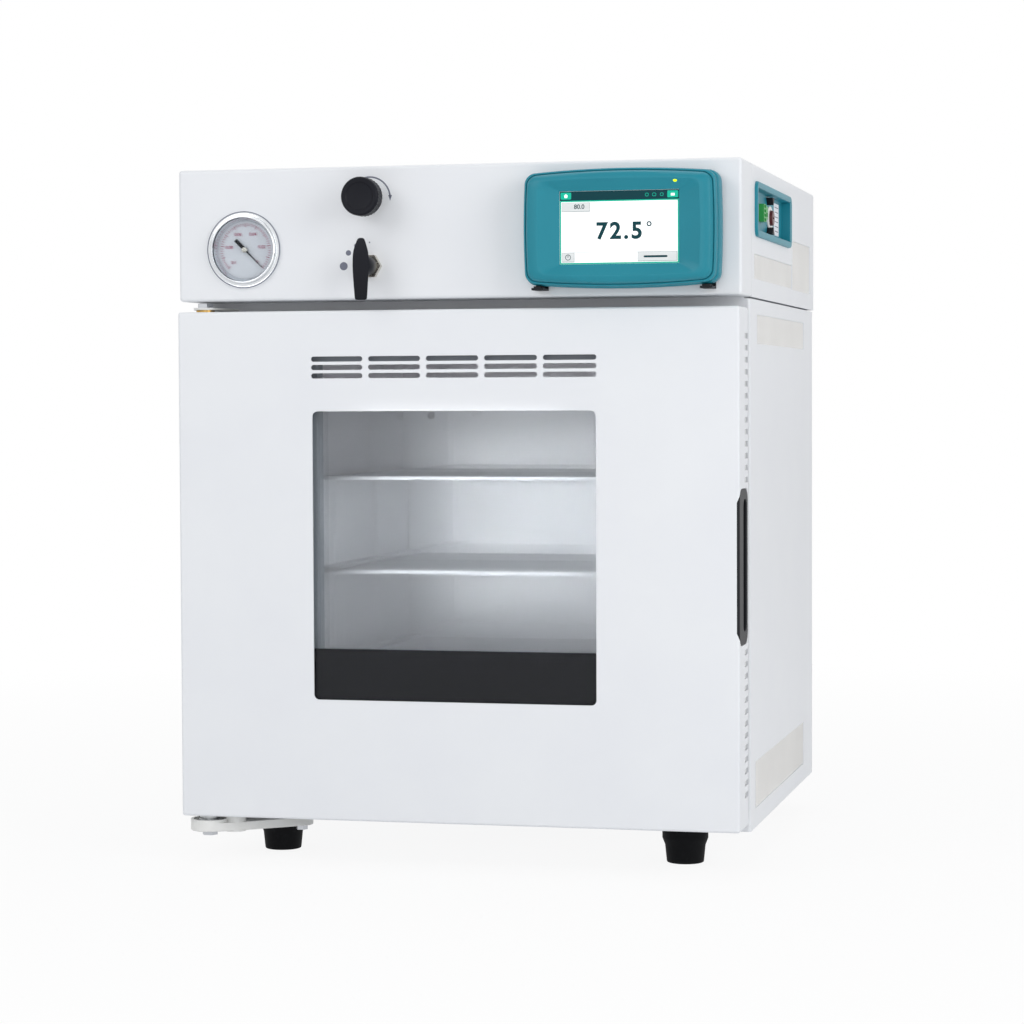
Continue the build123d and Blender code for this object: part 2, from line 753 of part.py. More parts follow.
# Lower hinge bracket: a casting under the body that reaches forward to the pin, shaped round the foot
bracket_thickness = 8.0
bracket_eye = 18.0
bracket_rim = (15.5, 3.0)
bracket_boss = 10.25
bracket_boss_place = (hinge_x + 23, hinge_depth + 6)
bracket_boss_rise = 6.0
bracket_pad = 11.0
with BuildPart() as hinge_bracket_bottom:
    with BuildSketch(level(body_bottom - bracket_thickness)):
        with Locations((hinge_x, hinge_depth)):
            Circle(bracket_eye)
        with Locations(bracket_boss_place):
            Circle(bracket_boss)
        make_hull()
    extrude(amount=bracket_thickness)
    with BuildSketch(level(body_bottom - bracket_thickness)):
        with Locations(bracket_boss_place):
            Circle(bracket_boss)
        with Locations(*bracket_bolts):
            Circle(bracket_pad)
        make_hull()
        with Locations((-foot_x, foot_front)):
            Circle(foot_radius + 1, mode=Mode.SUBTRACT)
    extrude(amount=bracket_thickness)
    underside = faces().filter_by(Axis.Z).sort_by(Axis.Z)[0]
    fillet(underside.edges(), 1.5)
    with BuildSketch(level(body_bottom)):
        with Locations((hinge_x, hinge_depth)):
            Circle(bracket_eye)
            Circle(bracket_rim[0], mode=Mode.SUBTRACT)
    extrude(amount=bracket_rim[1])
    with BuildSketch(level(body_bottom - bracket_thickness - 1)):
        with Locations(bracket_boss_place):
            Circle(bracket_boss)
    extrude(amount=bracket_thickness + 1 + bracket_boss_rise)
    with BuildSketch(level(body_bottom - bracket_thickness)):
        with Locations((hinge_x, hinge_depth)):
            Circle(pin + running)
        with Locations(*bracket_bolts):
            Circle(bracket_bolt + running)
    extrude(amount=bracket_thickness, mode=Mode.SUBTRACT)
hinge_bracket_bottom.part.label = "hinge_bracket_bottom"
export_step(hinge_bracket_bottom.part, "parts/hinge_bracket_bottom.step")

# Upper hinge bracket: a plate over the door with a tab screwed to the front of the body
tab_first = 2 - body_half
tab_last = tab_first + 36
with BuildPart() as hinge_bracket_top:
    with BuildSketch(level(top_plate_low)):
        with Locations((hinge_x, hinge_depth)):
            Circle(11)
        field(tab_first, tab_last, body_front - top_tab, body_front)
        make_hull()
        with Locations((hinge_x, hinge_depth)):
            Circle(pin + running, mode=Mode.SUBTRACT)
    extrude(amount=top_plate)
    with BuildSketch(across(body_front)):
        field(tab_first, tab_last, top_tab_low, top_plate_low + top_plate)
        with Locations(*tab_screws):
            Circle(tab_screw + running, mode=Mode.SUBTRACT)
    extrude(amount=top_tab)
hinge_bracket_top.part.label = "hinge_bracket_top"
export_step(hinge_bracket_top.part, "parts/hinge_bracket_top.step")

# Pivot bolts and bracket screws
pin_depth = 22.0
pivot_head = (13.0, 4.5)
top_pivot_head = 4.0
bolt_head = (10.0, 4.5)
tab_head = (8.0, 3.0)
bolt_reach = 8.0
with BuildPart() as hinge_bolts:
    bracket_low = body_bottom - bracket_thickness
    with BuildSketch(level(bracket_low - pivot_head[1])):
        with Locations((hinge_x, hinge_depth)):
            hexagon(pivot_head[0])
    extrude(amount=pivot_head[1])
    with BuildSketch(level(top_plate_low + top_plate)):
        with Locations((hinge_x, hinge_depth)):
            hexagon(pivot_head[0])
    extrude(amount=top_pivot_head)
    for low, high in (
        (bracket_low, door_bottom + pin_depth),
        (door_top - pin_depth, top_plate_low + top_plate),
    ):
        with BuildSketch(level(low)):
            with Locations((hinge_x, hinge_depth)):
                Circle(pin)
        extrude(amount=high - low)
    with BuildSketch(level(bracket_low - bolt_head[1])):
        with Locations(*bracket_bolts):
            hexagon(bolt_head[0])
    extrude(amount=bolt_head[1])
    with BuildSketch(level(bracket_low)):
        with Locations(*bracket_bolts):
            Circle(bracket_bolt)
    extrude(amount=bracket_thickness + bolt_reach)
    with BuildSketch(across(body_front - top_tab)):
        with Locations(*tab_screws):
            hexagon(tab_head[0])
    extrude(amount=tab_head[1])
    with BuildSketch(across(body_front - top_tab)):
        with Locations(*tab_screws):
            Circle(tab_screw)
    extrude(amount=-bolt_reach)
hinge_bolts.part.label = "hinge_bolts"
export_step(hinge_bolts.part, "parts/hinge_bolts.step")

# Washers between the lower bracket and the door
washer_radii = (10.5, 8.5, 9.5)
with BuildPart() as hinge_washers:
    stack = door_bottom - bush_rise - fit - body_bottom
    for i, radius in enumerate(washer_radii):
        with BuildSketch(level(body_bottom + i * stack / len(washer_radii))):
            with Locations((hinge_x, hinge_depth)):
                Circle(radius)
                Circle(pin + running, mode=Mode.SUBTRACT)
        extrude(amount=stack / len(washer_radii))
hinge_washers.part.label = "hinge_washers"
export_step(hinge_washers.part, "parts/hinge_washers.step")

# Door catch: magnets that stand out of the inner pan, and steel keepers on the front plate
magnet_rise = 7.0
magnet_collar = (12.0, 2.0)
keeper_radius = 11.0
with BuildPart() as door_magnets:
    for height in keeper_heights:
        with BuildSketch(facing(keeper_x, height, pan_depth - pan_flange)):
            Circle(magnet_radius)
        extrude(amount=-(magnet_rise + sheet + pan_flange))
        with BuildSketch(facing(keeper_x, height, door_back)):
            Circle(magnet_collar[0])
        extrude(amount=-magnet_collar[1])
door_magnets.part.label = "door_magnets"
export_step(door_magnets.part, "parts/door_magnets.step")

with BuildPart() as magnet_keepers:
    for height in keeper_heights:
        with BuildSketch(facing(keeper_x, height, plate_depth)):
            Circle(keeper_radius)
        extrude(amount=plate_depth - door_back - magnet_rise - fit)
        chamfer(magnet_keepers.part.faces().filter_by(Axis.Y).sort_by(Axis.Y)[0].edges(), 1)
magnet_keepers.part.label = "magnet_keepers"
export_step(magnet_keepers.part, "parts/magnet_keepers.step")

# Openings for the gauge case and the valve necks
case_radius = 31.0
vent_neck = 7.0
vacuum_neck = 8.0

# Control box: a folded front pan, a chassis tray, a cover over top and sides, and a rear panel
cable_slot = (60.0, 30.0)
with BuildPart() as control_front_panel:
    with BuildSketch(across(body_front)):
        frame(control_half, control_bottom, control_top)
    extrude(amount=body_front)
    front_face = faces().sort_by(Axis.Y)[0]
    fillet(front_face.edges() + edges().filter_by(Axis.Y), bend)
    offset(amount=-sheet, openings=faces().sort_by(Axis.Y)[-1])
    with BuildSketch(across(0)):
        with Locations((gauge_x, gauge_z)):
            Circle(case_radius + fit)
        with Locations((valve_x, vent_z)):
            Circle(vent_neck + fit)
        with Locations((valve_x, vacuum_z)):
            Circle(vacuum_neck + fit)
        with Locations((display_x, display_z)):
            RectangleRounded(*cable_slot, 5)
    extrude(amount=-sheet, mode=Mode.SUBTRACT)
control_front_panel.part.label = "control_front_panel"
export_step(control_front_panel.part, "parts/control_front_panel.step")

port_front = body_front + 20
port_rear = port_front + 224
port_low = control_bottom + 56
port_high = port_low + 50.5
port_rim = 3.0
port_corner = 8.0
with BuildPart() as control_cover:
    with BuildSketch(across(cabinet_depth)):
        frame(control_half, control_bottom, control_top)
    extrude(amount=cabinet_depth - body_front - seam)
    fillet(edges_at(control_cover.part, Axis.Y, control_top, "Z"), bend)
    with BuildSketch(across(cabinet_depth)):
        low = control_bottom - control_height
        frame(control_half - sheet, low, control_top - sheet, bend - sheet)
    extrude(amount=cabinet_depth - body_front - seam, mode=Mode.SUBTRACT)
    with BuildSketch(upright(control_half)):
        field(*control_louvre_front)
        field(*control_louvre_rear)
    extrude(amount=-2 * control_half, mode=Mode.SUBTRACT)
    with BuildSketch(upright(control_half)):
        inner = (port_front + port_rim, port_rear - port_rim, port_low + port_rim, port_high - port_rim)
        field(*inner, port_corner - port_rim)
    extrude(amount=-sheet, mode=Mode.SUBTRACT)
control_cover.part.label = "control_cover"
export_step(control_cover.part, "parts/control_cover.step")

chassis_flange = 14.0
chassis_tongue = 25.0
with BuildPart() as control_chassis:
    inside = control_half - sheet
    with BuildSketch(across(rear_depth - sheet)):
        frame(inside, control_bottom, control_bottom + chassis_flange)
        frame(inside - sheet, control_bottom + sheet, control_top, mode=Mode.SUBTRACT)
    extrude(amount=rear_depth - sheet - body_front - seam)
    for side in (-1, 1):
        with BuildSketch(upright(side * inside)):
            top = control_bottom + chassis_flange
            field(body_front - chassis_tongue, body_front + seam, control_bottom + 2 * sheet, top)
        extrude(amount=-side * sheet)
    with BuildSketch(level(control_bottom)):
        with Locations((-riser_x, riser_depth), (riser_x, riser_depth)):
            Circle(tube_hole)
    extrude(amount=sheet, mode=Mode.SUBTRACT)
control_chassis.part.label = "control_chassis"
export_step(control_chassis.part, "parts/control_chassis.step")

inlet_place = (control_half - 65, control_bottom + 38)
inlet_body = (28.0, 20.5)
breaker_place = (control_half - 115, control_bottom + 38)
breaker_body = (20.0, 28.0)
nozzle_pipe = 9.5
vent_pipe = 5.0
with BuildPart() as control_rear_panel:
    with BuildSketch(across(rear_depth)):
        frame(control_half - sheet, control_bottom + sheet, control_top - sheet, bend - sheet)
        with Locations(inlet_place):
            Rectangle(*inlet_body, mode=Mode.SUBTRACT)
        with Locations(breaker_place):
            Rectangle(*breaker_body, mode=Mode.SUBTRACT)
        with Locations((valve_x, vacuum_z)):
            Circle(nozzle_pipe, mode=Mode.SUBTRACT)
        with Locations((valve_x, vent_z)):
            Circle(vent_pipe, mode=Mode.SUBTRACT)
        with Locations((20, control_top - 30)):
            with GridLocations(54, 12, 3, 3):
                SlotOverall(*vent_slot, mode=Mode.SUBTRACT)
    extrude(amount=sheet)
control_rear_panel.part.label = "control_rear_panel"
export_step(control_rear_panel.part, "parts/control_rear_panel.step")

# Controller: black bracket on the panel, back housing, bowed fascia with a funnel down to the screen
housing_size = (178.6, 107.0)
fascia_inset = (3.9, 2.0)
fascia_size = (housing_size[0] - fascia_inset[0], housing_size[1] - fascia_inset[1])
side_bow = 1.5
top_bow = 4.0
display_corner = 11.0
display_wall = 2.5
bracket_rise = 4.0
housing_rise = 20.0
groove = 1.0
fascia_wall = 10.0
ridge_inset = (26.2, 18.0)
ridge_size = (fascia_size[0] - ridge_inset[0], fascia_size[1] - ridge_inset[1])
ridge_corner = 8.0
crest = 1.0
screen_size = (108.0, 64.8)
screen_depth = 6.0
screen_lip = 1.5
screen_module = (118.0, 76.0, 5.0)
groove_rise = housing_rise + groove
shoulder_rise = groove_rise + fascia_wall
screen_rise = display_reach - screen_depth
lug_size = (11.0, 18.0)
lug_drop = 5.0
lug_step = 2.0
lug_places = (-76.5, 76.5)
with BuildPart() as display_bracket:
    with BuildSketch(facing(display_x, display_z, 0)):
        bowed(housing_size[0] - 12, housing_size[1] - 12, side_bow, top_bow, display_corner)
        RectangleRounded(*cable_slot, 5, mode=Mode.SUBTRACT)
    extrude(amount=bracket_rise)
    lug_top = 8 - housing_size[1] / 2
    lug_low = top_bow - housing_size[1] / 2 - lug_drop
    for x in lug_places:
        with BuildSketch(facing(display_x, display_z, 0)):
            field(x - lug_size[0] / 2, x + lug_size[0] / 2, lug_low, lug_top)
        extrude(amount=bracket_rise)
        with BuildSketch(facing(display_x, display_z, -bracket_rise)):
            reach = lug_size[0] / 2
            field(x - reach, x + reach, lug_low, lug_low + lug_step)
            field(x - reach + lug_step, x + reach - lug_step, lug_low + lug_step, lug_low + lug_drop - 1.5)
        extrude(amount=lug_size[1])
display_bracket.part.label = "display_bracket"
export_step(display_bracket.part, "parts/display_bracket.step")

with BuildPart() as display_housing:
    with BuildSketch(facing(display_x, display_z, -bracket_rise)):
        bowed(*housing_size, side_bow, top_bow, display_corner)
    extrude(amount=housing_rise - bracket_rise)
    fillet(faces().sort_by(Axis.Y)[-1].edges(), 3)
    with BuildSketch(facing(display_x, display_z, -groove_rise)):
        bowed(fascia_size[0] - 3, fascia_size[1] - 3, side_bow, top_bow, display_corner - 1.5)
    extrude(amount=-groove)
    with BuildSketch(facing(display_x, display_z, -groove_rise)):
        inner = (fascia_size[0] - 3 - 2 * display_wall, fascia_size[1] - 3 - 2 * display_wall)
        bowed(*inner, side_bow, top_bow, display_corner - 4)
    extrude(amount=bracket_rise + display_wall - groove_rise, mode=Mode.SUBTRACT)
    with BuildSketch(facing(display_x, display_z, -bracket_rise)):
        RectangleRounded(*cable_slot, 5)
    extrude(amount=display_wall, mode=Mode.SUBTRACT)
display_housing.part.label = "display_housing"
export_step(display_housing.part, "parts/display_housing.step")

led_inset = (22.85, 2.9)
led_place = (ridge_size[0] / 2 - led_inset[0], ridge_size[1] / 2 - led_inset[1])
led_radius = 2.0
with BuildPart() as display_fascia:
    with BuildSketch(facing(display_x, display_z, -groove_rise)):
        bowed(*fascia_size, side_bow, top_bow, display_corner)
    extrude(amount=fascia_wall)
    with BuildSketch(facing(display_x, display_z, -shoulder_rise)):
        bowed(*fascia_size, side_bow, top_bow, display_corner)
    with BuildSketch(facing(display_x, display_z, -display_reach)):
        bowed(*ridge_size, 0.5, 1.5, ridge_corner)
    loft()
    with BuildSketch(facing(display_x, display_z, -display_reach)):
        bowed(ridge_size[0] - 2 * crest, ridge_size[1] - 2 * crest, 0.5, 1.5, ridge_corner - crest)
    with BuildSketch(facing(display_x, display_z, -screen_rise)):
        bowed(*screen_size, 0.05, 0.05, 1)
    loft(mode=Mode.SUBTRACT)
    with BuildSketch(facing(display_x, display_z, -screen_rise)):
        Rectangle(*screen_size)
    extrude(amount=-screen_lip, mode=Mode.SUBTRACT)
    with BuildSketch(facing(display_x, display_z, -groove_rise)):
        inner = (fascia_size[0] - 2 * display_wall, fascia_size[1] - 2 * display_wall)
        bowed(*inner, side_bow, top_bow, display_corner - display_wall)
    extrude(amount=screen_rise - screen_lip - groove_rise, mode=Mode.SUBTRACT)
    with BuildSketch(facing(display_x + led_place[0], display_z + led_place[1], -groove_rise)):
        Circle(led_radius)
    extrude(amount=display_reach - groove_rise, mode=Mode.SUBTRACT)
display_fascia.part.label = "display_fascia"
export_step(display_fascia.part, "parts/display_fascia.step")

with BuildPart() as touch_screen:
    with BuildSketch(facing(display_x, display_z, screen_lip - screen_rise)):
        RectangleRounded(*screen_module[:2], 2)
    extrude(amount=-screen_module[2])
touch_screen.part.label = "touch_screen"
export_step(touch_screen.part, "parts/touch_screen.step")

led_slope = (led_place[1] - screen_size[1] / 2) / (ridge_size[1] / 2 - crest - screen_size[1] / 2)
led_rise = screen_rise + screen_depth * led_slope
with BuildPart() as status_led:
    with BuildSketch(facing(display_x + led_place[0], display_z + led_place[1], screen_lip - screen_rise)):
        Circle(led_radius)
    extrude(amount=led_rise + screen_lip - screen_rise)
    fillet(status_led.part.faces().sort_by(Axis.Y)[0].edges(), 1)
status_led.part.label = "status_led"
export_step(status_led.part, "parts/status_led.step")

# Vacuum gauge: flanged case with its movement and rear connection, bezel ring, lens, dial and pointer
gauge_rim = 35.5
gauge_rim_rise = 2.5
case_wall = 1.5
case_depth = 30.0
stem_radius = 6.0
stem_end = case_depth + 16
movement = (8.0, 6.0)
spindle = 1.0
spindle_end = 13.0
lens_thickness = 2.0
bezel_radius = 31.85
bezel_rise = gauge_rim_rise + lens_thickness + 1.7
dial_depth = 4.0
dial_sheet = 0.8
case_inner = case_radius - case_wall
lens_radius = case_radius - 0.5
with BuildPart() as gauge_case:
    spin(
        gauge_x,
        gauge_z,
        [
            (case_inner, -gauge_rim_rise),
            (gauge_rim, -gauge_rim_rise),
            (gauge_rim, 0),
            (case_radius, 0),
            (case_radius, case_depth),
            (stem_radius, case_depth),
            (stem_radius, stem_end),
            (0, stem_end),
            (0, spindle_end + 1),
            (spindle + running, spindle_end + 1),
            (spindle + running, movement[1]),
            (movement[0], movement[1]),
            (movement[0], case_depth - case_wall),
            (case_inner, case_depth - case_wall),
        ],
    )
gauge_case.part.label = "gauge_case"
export_step(gauge_case.part, "parts/gauge_case.step")

with BuildPart() as gauge_bezel:
    spin(
        gauge_x,
        gauge_z,
        [
            (case_inner, -bezel_rise),
            (bezel_radius - 0.9, -bezel_rise),
            (bezel_radius, 0.9 - bezel_rise),
            (bezel_radius, -gauge_rim_rise),
            (lens_radius + 0.1, -gauge_rim_rise),
            (lens_radius + 0.1, -gauge_rim_rise - lens_thickness),
            (case_inner, -gauge_rim_rise - lens_thickness),
        ],
    )
gauge_bezel.part.label = "gauge_bezel"
export_step(gauge_bezel.part, "parts/gauge_bezel.step")

with BuildPart() as gauge_lens:
    with BuildSketch(facing(gauge_x, gauge_z, -gauge_rim_rise)):
        Circle(lens_radius)
    extrude(amount=lens_thickness)
gauge_lens.part.label = "gauge_lens"
export_step(gauge_lens.part, "parts/gauge_lens.step")

with BuildPart() as gauge_dial:
    with BuildSketch(facing(gauge_x, gauge_z, dial_depth)):
        Circle(case_inner)
        Circle(spindle + fit, mode=Mode.SUBTRACT)
    extrude(amount=-dial_sheet)
gauge_dial.part.label = "gauge_dial"
export_step(gauge_dial.part, "parts/gauge_dial.step")

pointer_tip = 23.3
pointer_tail = 13.2
pointer_zero = 135.0
pointer_hub = 2.5
pointer_depth = 2.0
pointer_sheet = 0.6
with BuildPart() as gauge_pointer:
    with BuildSketch(facing(gauge_x, gauge_z, pointer_depth).rotated((0, pointer_zero, 0))):
        with BuildLine():
            Polyline(
                (-0.3, pointer_tip),
                (0.3, pointer_tip),
                (0.8, 0),
                (1.7, -2),
                (1.7, -pointer_tail),
                (-1.7, -pointer_tail),
                (-1.7, -2),
                (-0.8, 0),
                close=True,
            )
        make_face()
    extrude(amount=pointer_sheet)
    with BuildSketch(facing(gauge_x, gauge_z, pointer_depth + 0.4)):
        Circle(pointer_hub)
    extrude(amount=2.0)
    with BuildSketch(facing(gauge_x, gauge_z, spindle_end)):
        Circle(spindle)
    extrude(amount=spindle_end - pointer_depth)
gauge_pointer.part.label = "gauge_pointer"
export_step(gauge_pointer.part, "parts/gauge_pointer.step")

# Vent valve: knurled knob on a stem that screws out of a brass body behind the panel
stem = 4.0
stem_front = 29.0
stem_rear = 26.0
knob_radius = 17.7
knob_front = 33.5
knob_back = 17.0
knob_recess = (12.0, 1.0)
knob_scallops = 24
knob_scallop = 1.7
knob_rim = 2.5
vent_body = (26.0, 34.5)
vent_nut = (19.0, 5.0)
neck_reach = 6.5
with BuildPart() as vent_valve:
    with BuildSketch(facing(valve_x, vent_z, sheet)):
        RectangleRounded(vent_body[0], vent_body[0], 3)
    extrude(amount=-vent_body[1])
    with BuildSketch(facing(valve_x, vent_z, sheet)):
        Circle(vent_neck)
    extrude(amount=sheet + neck_reach)
    with BuildSketch(facing(valve_x, vent_z, 0)):
        hexagon(vent_nut[0])
    extrude(amount=vent_nut[1])
    with BuildSketch(facing(valve_x, vent_z, -neck_reach)):
        Circle(stem + running)
    extrude(amount=-(neck_reach + stem_rear + 1), mode=Mode.SUBTRACT)
vent_valve.part.label = "vent_valve"
export_step(vent_valve.part, "parts/vent_valve.step")

with BuildPart() as vent_stem:
    spin(
        valve_x,
        vent_z,
        [(0, -stem_front), (stem, -stem_front), (stem, stem_rear - 6), (1.5, stem_rear), (0, stem_rear)],
    )
vent_stem.part.label = "vent_stem"
export_step(vent_stem.part, "parts/vent_stem.step")

with BuildPart() as vent_knob:
    spin(
        valve_x,
        vent_z,
        [
            (0, knob_recess[1] - knob_front),
            (knob_recess[0], knob_recess[1] - knob_front),
            (knob_recess[0] + 0.6, -knob_front),
            (knob_radius - 1.5, -knob_front),
            (knob_radius, 1.5 - knob_front),
            (knob_radius, -knob_back - 1),
            (knob_radius - 1, -knob_back),
            (stem + running, -knob_back),
            (stem + running, -stem_front - fit),
            (0, -stem_front - fit),
        ],
    )
    with BuildSketch(facing(valve_x, vent_z, knob_rim - knob_front)):
        with PolarLocations(knob_radius + 1, knob_scallops):
            Circle(knob_scallop)
    extrude(amount=knob_rim - knob_front + knob_back, mode=Mode.SUBTRACT)
vent_knob.part.label = "vent_knob"
export_step(vent_knob.part, "parts/vent_knob.step")

# Vacuum valve: a quarter-turn lever whose shaft turns in a brass body behind the panel
lever_front = 35.0
lever_thickness = 10.0
lever_tip = (3.4, 17.4)
lever_middle = 7.0
lever_middle_rise = 3.0
lever_end = (5.6, 22.4)
lever_hub = (9.0, 13.0)
shaft = 5.0
vacuum_body = (30.0, 38.5)
vacuum_nut = (20.0, 6.0)
vacuum_neck_reach = 8.0
with BuildPart() as vacuum_lever:
    with BuildSketch(facing(valve_x, vacuum_z, lever_thickness - lever_front)):
        with Locations((0, lever_tip[1])):
            Circle(lever_tip[0])
        with Locations((0, lever_middle_rise)):
            Circle(lever_middle)
        with Locations((0, -lever_end[1])):
            Circle(lever_end[0])
        make_hull()
    extrude(amount=lever_thickness)
    fillet(faces().sort_by(Axis.Y)[0].edges(), 2)
    with BuildSketch(facing(valve_x, vacuum_z, lever_thickness - lever_front)):
        Circle(lever_hub[0])
    extrude(amount=lever_thickness - lever_front + lever_hub[1])
    with BuildSketch(facing(valve_x, vacuum_z, -lever_hub[1])):
        Circle(shaft)
    extrude(amount=-(lever_hub[1] + stem_rear))
vacuum_lever.part.label = "vacuum_lever"
export_step(vacuum_lever.part, "parts/vacuum_lever.step")

with BuildPart() as vacuum_valve:
    with BuildSketch(facing(valve_x, vacuum_z, sheet)):
        RectangleRounded(vacuum_body[0], vacuum_body[0], 3)
    extrude(amount=-vacuum_body[1])
    with BuildSketch(facing(valve_x, vacuum_z, sheet)):
        Circle(vacuum_neck)
    extrude(amount=sheet + vacuum_neck_reach)
    with BuildSketch(facing(valve_x, vacuum_z, 0)):
        hexagon(vacuum_nut[0])
    extrude(amount=vacuum_nut[1])
    with BuildSketch(facing(valve_x, vacuum_z, -vacuum_neck_reach)):
        Circle(shaft + running)
    extrude(amount=-(vacuum_neck_reach + stem_rear + 1), mode=Mode.SUBTRACT)
vacuum_valve.part.label = "vacuum_valve"
export_step(vacuum_valve.part, "parts/vacuum_valve.step")

# Rear connections: flanged pump nozzle and vent spigot, each clamped to the rear panel
nozzle_bore = 8.0
nozzle_flange = (15.0, 3.0)
nozzle_nut = (13.0, 7.5)
fitting_inside = 10.0
nozzle_end = cabinet_depth + nozzle_reach
nozzle_wall = nozzle_end - 36
tube_bore = 3.0
spigot = 4.0
spigot_bore = 1.5
spigot_end = cabinet_depth + 28
spigot_nut = (8.0, 9.5)
fitting_front = rear_depth - fitting_inside
with BuildPart() as vacuum_port:
    spin(
        valve_x,
        vacuum_z,
        [
            (nozzle_bore, nozzle_end),
            (nozzle_flange[0], nozzle_end),
            (nozzle_flange[0], nozzle_end - nozzle_flange[1]),
            (nozzle_pipe, nozzle_end - nozzle_flange[1] - 1.5),
            (nozzle_pipe, rear_depth + nozzle_nut[1]),
            (nozzle_nut[0], rear_depth + nozzle_nut[1]),
            (nozzle_nut[0], rear_depth),
            (nozzle_pipe, rear_depth),
            (nozzle_pipe, fitting_front),
            (tube_bore, fitting_front),
            (tube_bore, nozzle_wall),
            (nozzle_bore, nozzle_wall),
        ],
    )
vacuum_port.part.label = "vacuum_port"
export_step(vacuum_port.part, "parts/vacuum_port.step")

with BuildPart() as vent_inlet:
    spin(
        valve_x,
        vent_z,
        [
            (spigot_bore, spigot_end),
            (spigot - 0.6, spigot_end),
            (spigot, spigot_end - 1),
            (spigot, rear_depth + spigot_nut[1]),
            (spigot_nut[0], rear_depth + spigot_nut[1]),
            (spigot_nut[0], rear_depth),
            (vent_pipe, rear_depth),
            (vent_pipe, fitting_front),
            (spigot_bore, fitting_front),
        ],
    )
vent_inlet.part.label = "vent_inlet"
export_step(vent_inlet.part, "parts/vent_inlet.step")

# Tubes between chamber, gauge, valves and rear connections
tube = 4.0
tube_bend = 14.0
sleeve_end = insulation_rear + 5
branch_depth = 90.0
side_entry = 20.0
vent_lane = 40.0


def tube_along(*places):
    # Tube of straight runs and round bends through places given as X, depth and height.
    points = [(x, face_y + depth, height) for x, depth, height in places]
    with BuildLine() as route:
        if len(points) > 2:
            FilletPolyline(*points, radius=tube_bend)
        else:
            Line(*points)
    with BuildSketch(Plane(origin=route.line @ 0, z_dir=route.line % 0)) as section:
        Circle(tube)
    sweep(section.sketch, path=route.line)


with BuildPart() as vacuum_tubes:
    tube_along((valve_x, sheet + vacuum_body[1], vacuum_z), (valve_x, fitting_front, vacuum_z))
    tube_along((valve_x, sheet + vent_body[1], vent_z), (valve_x, fitting_front, vent_z))
    tube_along(
        (riser_x, sleeve_end, port_height),
        (riser_x, riser_depth, port_height),
        (riser_x, riser_depth, vacuum_z),
        (riser_x, side_entry, vacuum_z),
        (valve_x - vacuum_body[0] / 2, side_entry, vacuum_z),
    )
    tube_along(
        (gauge_x, stem_end, gauge_z),
        (gauge_x, branch_depth, gauge_z),
        (riser_x, branch_depth, gauge_z),
        (riser_x, branch_depth, vacuum_z),
    )
    tube_along(
        (-riser_x, sleeve_end, port_height),
        (-riser_x, riser_depth, port_height),
        (-riser_x, riser_depth, vent_z),
        (valve_x + vent_lane, riser_depth, vent_z),
        (valve_x + vent_lane, side_entry, vent_z),
        (valve_x + vent_body[0] / 2, side_entry, vent_z),
    )
vacuum_tubes.part.label = "vacuum_tubes"
export_step(vacuum_tubes.part, "parts/vacuum_tubes.step")

# Side port: moulded housing let into the right side, with terminals and the over-temperature limiter
pocket_floor = control_half - 6
port_back = 4.0
rim_width = 6.0
port_wall = 5.0
limiter_place = (port_front + 130, (port_low + port_high) / 2 - 1)
limiter_dial_radius = 7.3
limiter_shaft = 3.0
plate_size = (38.0, 22.5)
plate_rise = 1.2
plate_hole = limiter_dial_radius + fit
with BuildPart() as port_housing:
    with BuildSketch(upright(control_half)):
        field(port_front, port_rear, port_low, port_high, port_corner)
    extrude(amount=port_rim)
    chamfer(faces().sort_by(Axis.X)[-1].edges(), 1.2)
    with BuildSketch(upright(control_half)):
        inner = (port_front + port_rim, port_rear - port_rim, port_low + port_rim, port_high - port_rim)
        field(*inner, port_corner - port_rim)
    extrude(amount=pocket_floor - port_back - control_half)
    with BuildSketch(upright(control_half + port_rim)):
        first, last = port_front + rim_width, port_rear - rim_width - port_wall
        field(first, last, port_low + rim_width, port_high - rim_width, port_corner - port_rim)
    extrude(amount=pocket_floor - control_half - port_rim, mode=Mode.SUBTRACT)
    with BuildSketch(upright(pocket_floor)):
        with Locations(limiter_place):
            Circle(limiter_shaft + running)
    extrude(amount=-port_back, mode=Mode.SUBTRACT)
port_housing.part.label = "port_housing"
export_step(port_housing.part, "parts/port_housing.step")

terminal_first = port_front + 64
terminal_size = (15.0, 16.5, 5.0)
terminal_ways = 4
socket_size = (20.0, 12.0, 3.0)
with BuildPart() as terminal_block:
    middle = (port_low + port_high) / 2
    low = middle - 8
    pitch = terminal_size[1] / terminal_ways
    with BuildSketch(upright(pocket_floor)):
        field(terminal_first, terminal_first + terminal_size[0], low, low + terminal_size[1])
    extrude(amount=terminal_size[2])
    with BuildSketch(upright(pocket_floor + terminal_size[2])):
        with Locations((terminal_first + terminal_size[0] / 2, low + terminal_size[1] / 2)):
            with GridLocations(1, pitch, 1, terminal_ways):
                Rectangle(terminal_size[0] - 5, pitch - 1.4)
    extrude(amount=-2, mode=Mode.SUBTRACT)
    with BuildSketch(upright(pocket_floor)):
        first = terminal_first + terminal_size[0] + 3
        last, low = first + socket_size[0], middle - 4
        field(first, last, low, low + socket_size[1])
        field(first + 2, last - 2, low + 2, low + 6, mode=Mode.SUBTRACT)
    extrude(amount=socket_size[2])
terminal_block.part.label = "terminal_block"
export_step(terminal_block.part, "parts/terminal_block.step")

with BuildPart() as limiter_escutcheon:
    with BuildSketch(upright(pocket_floor)):
        with Locations(limiter_place):
            Ellipse(plate_size[0] / 2, plate_size[1] / 2)
            Circle(plate_hole, mode=Mode.SUBTRACT)
    extrude(amount=plate_rise)
limiter_escutcheon.part.label = "limiter_escutcheon"
export_step(limiter_escutcheon.part, "parts/limiter_escutcheon.step")

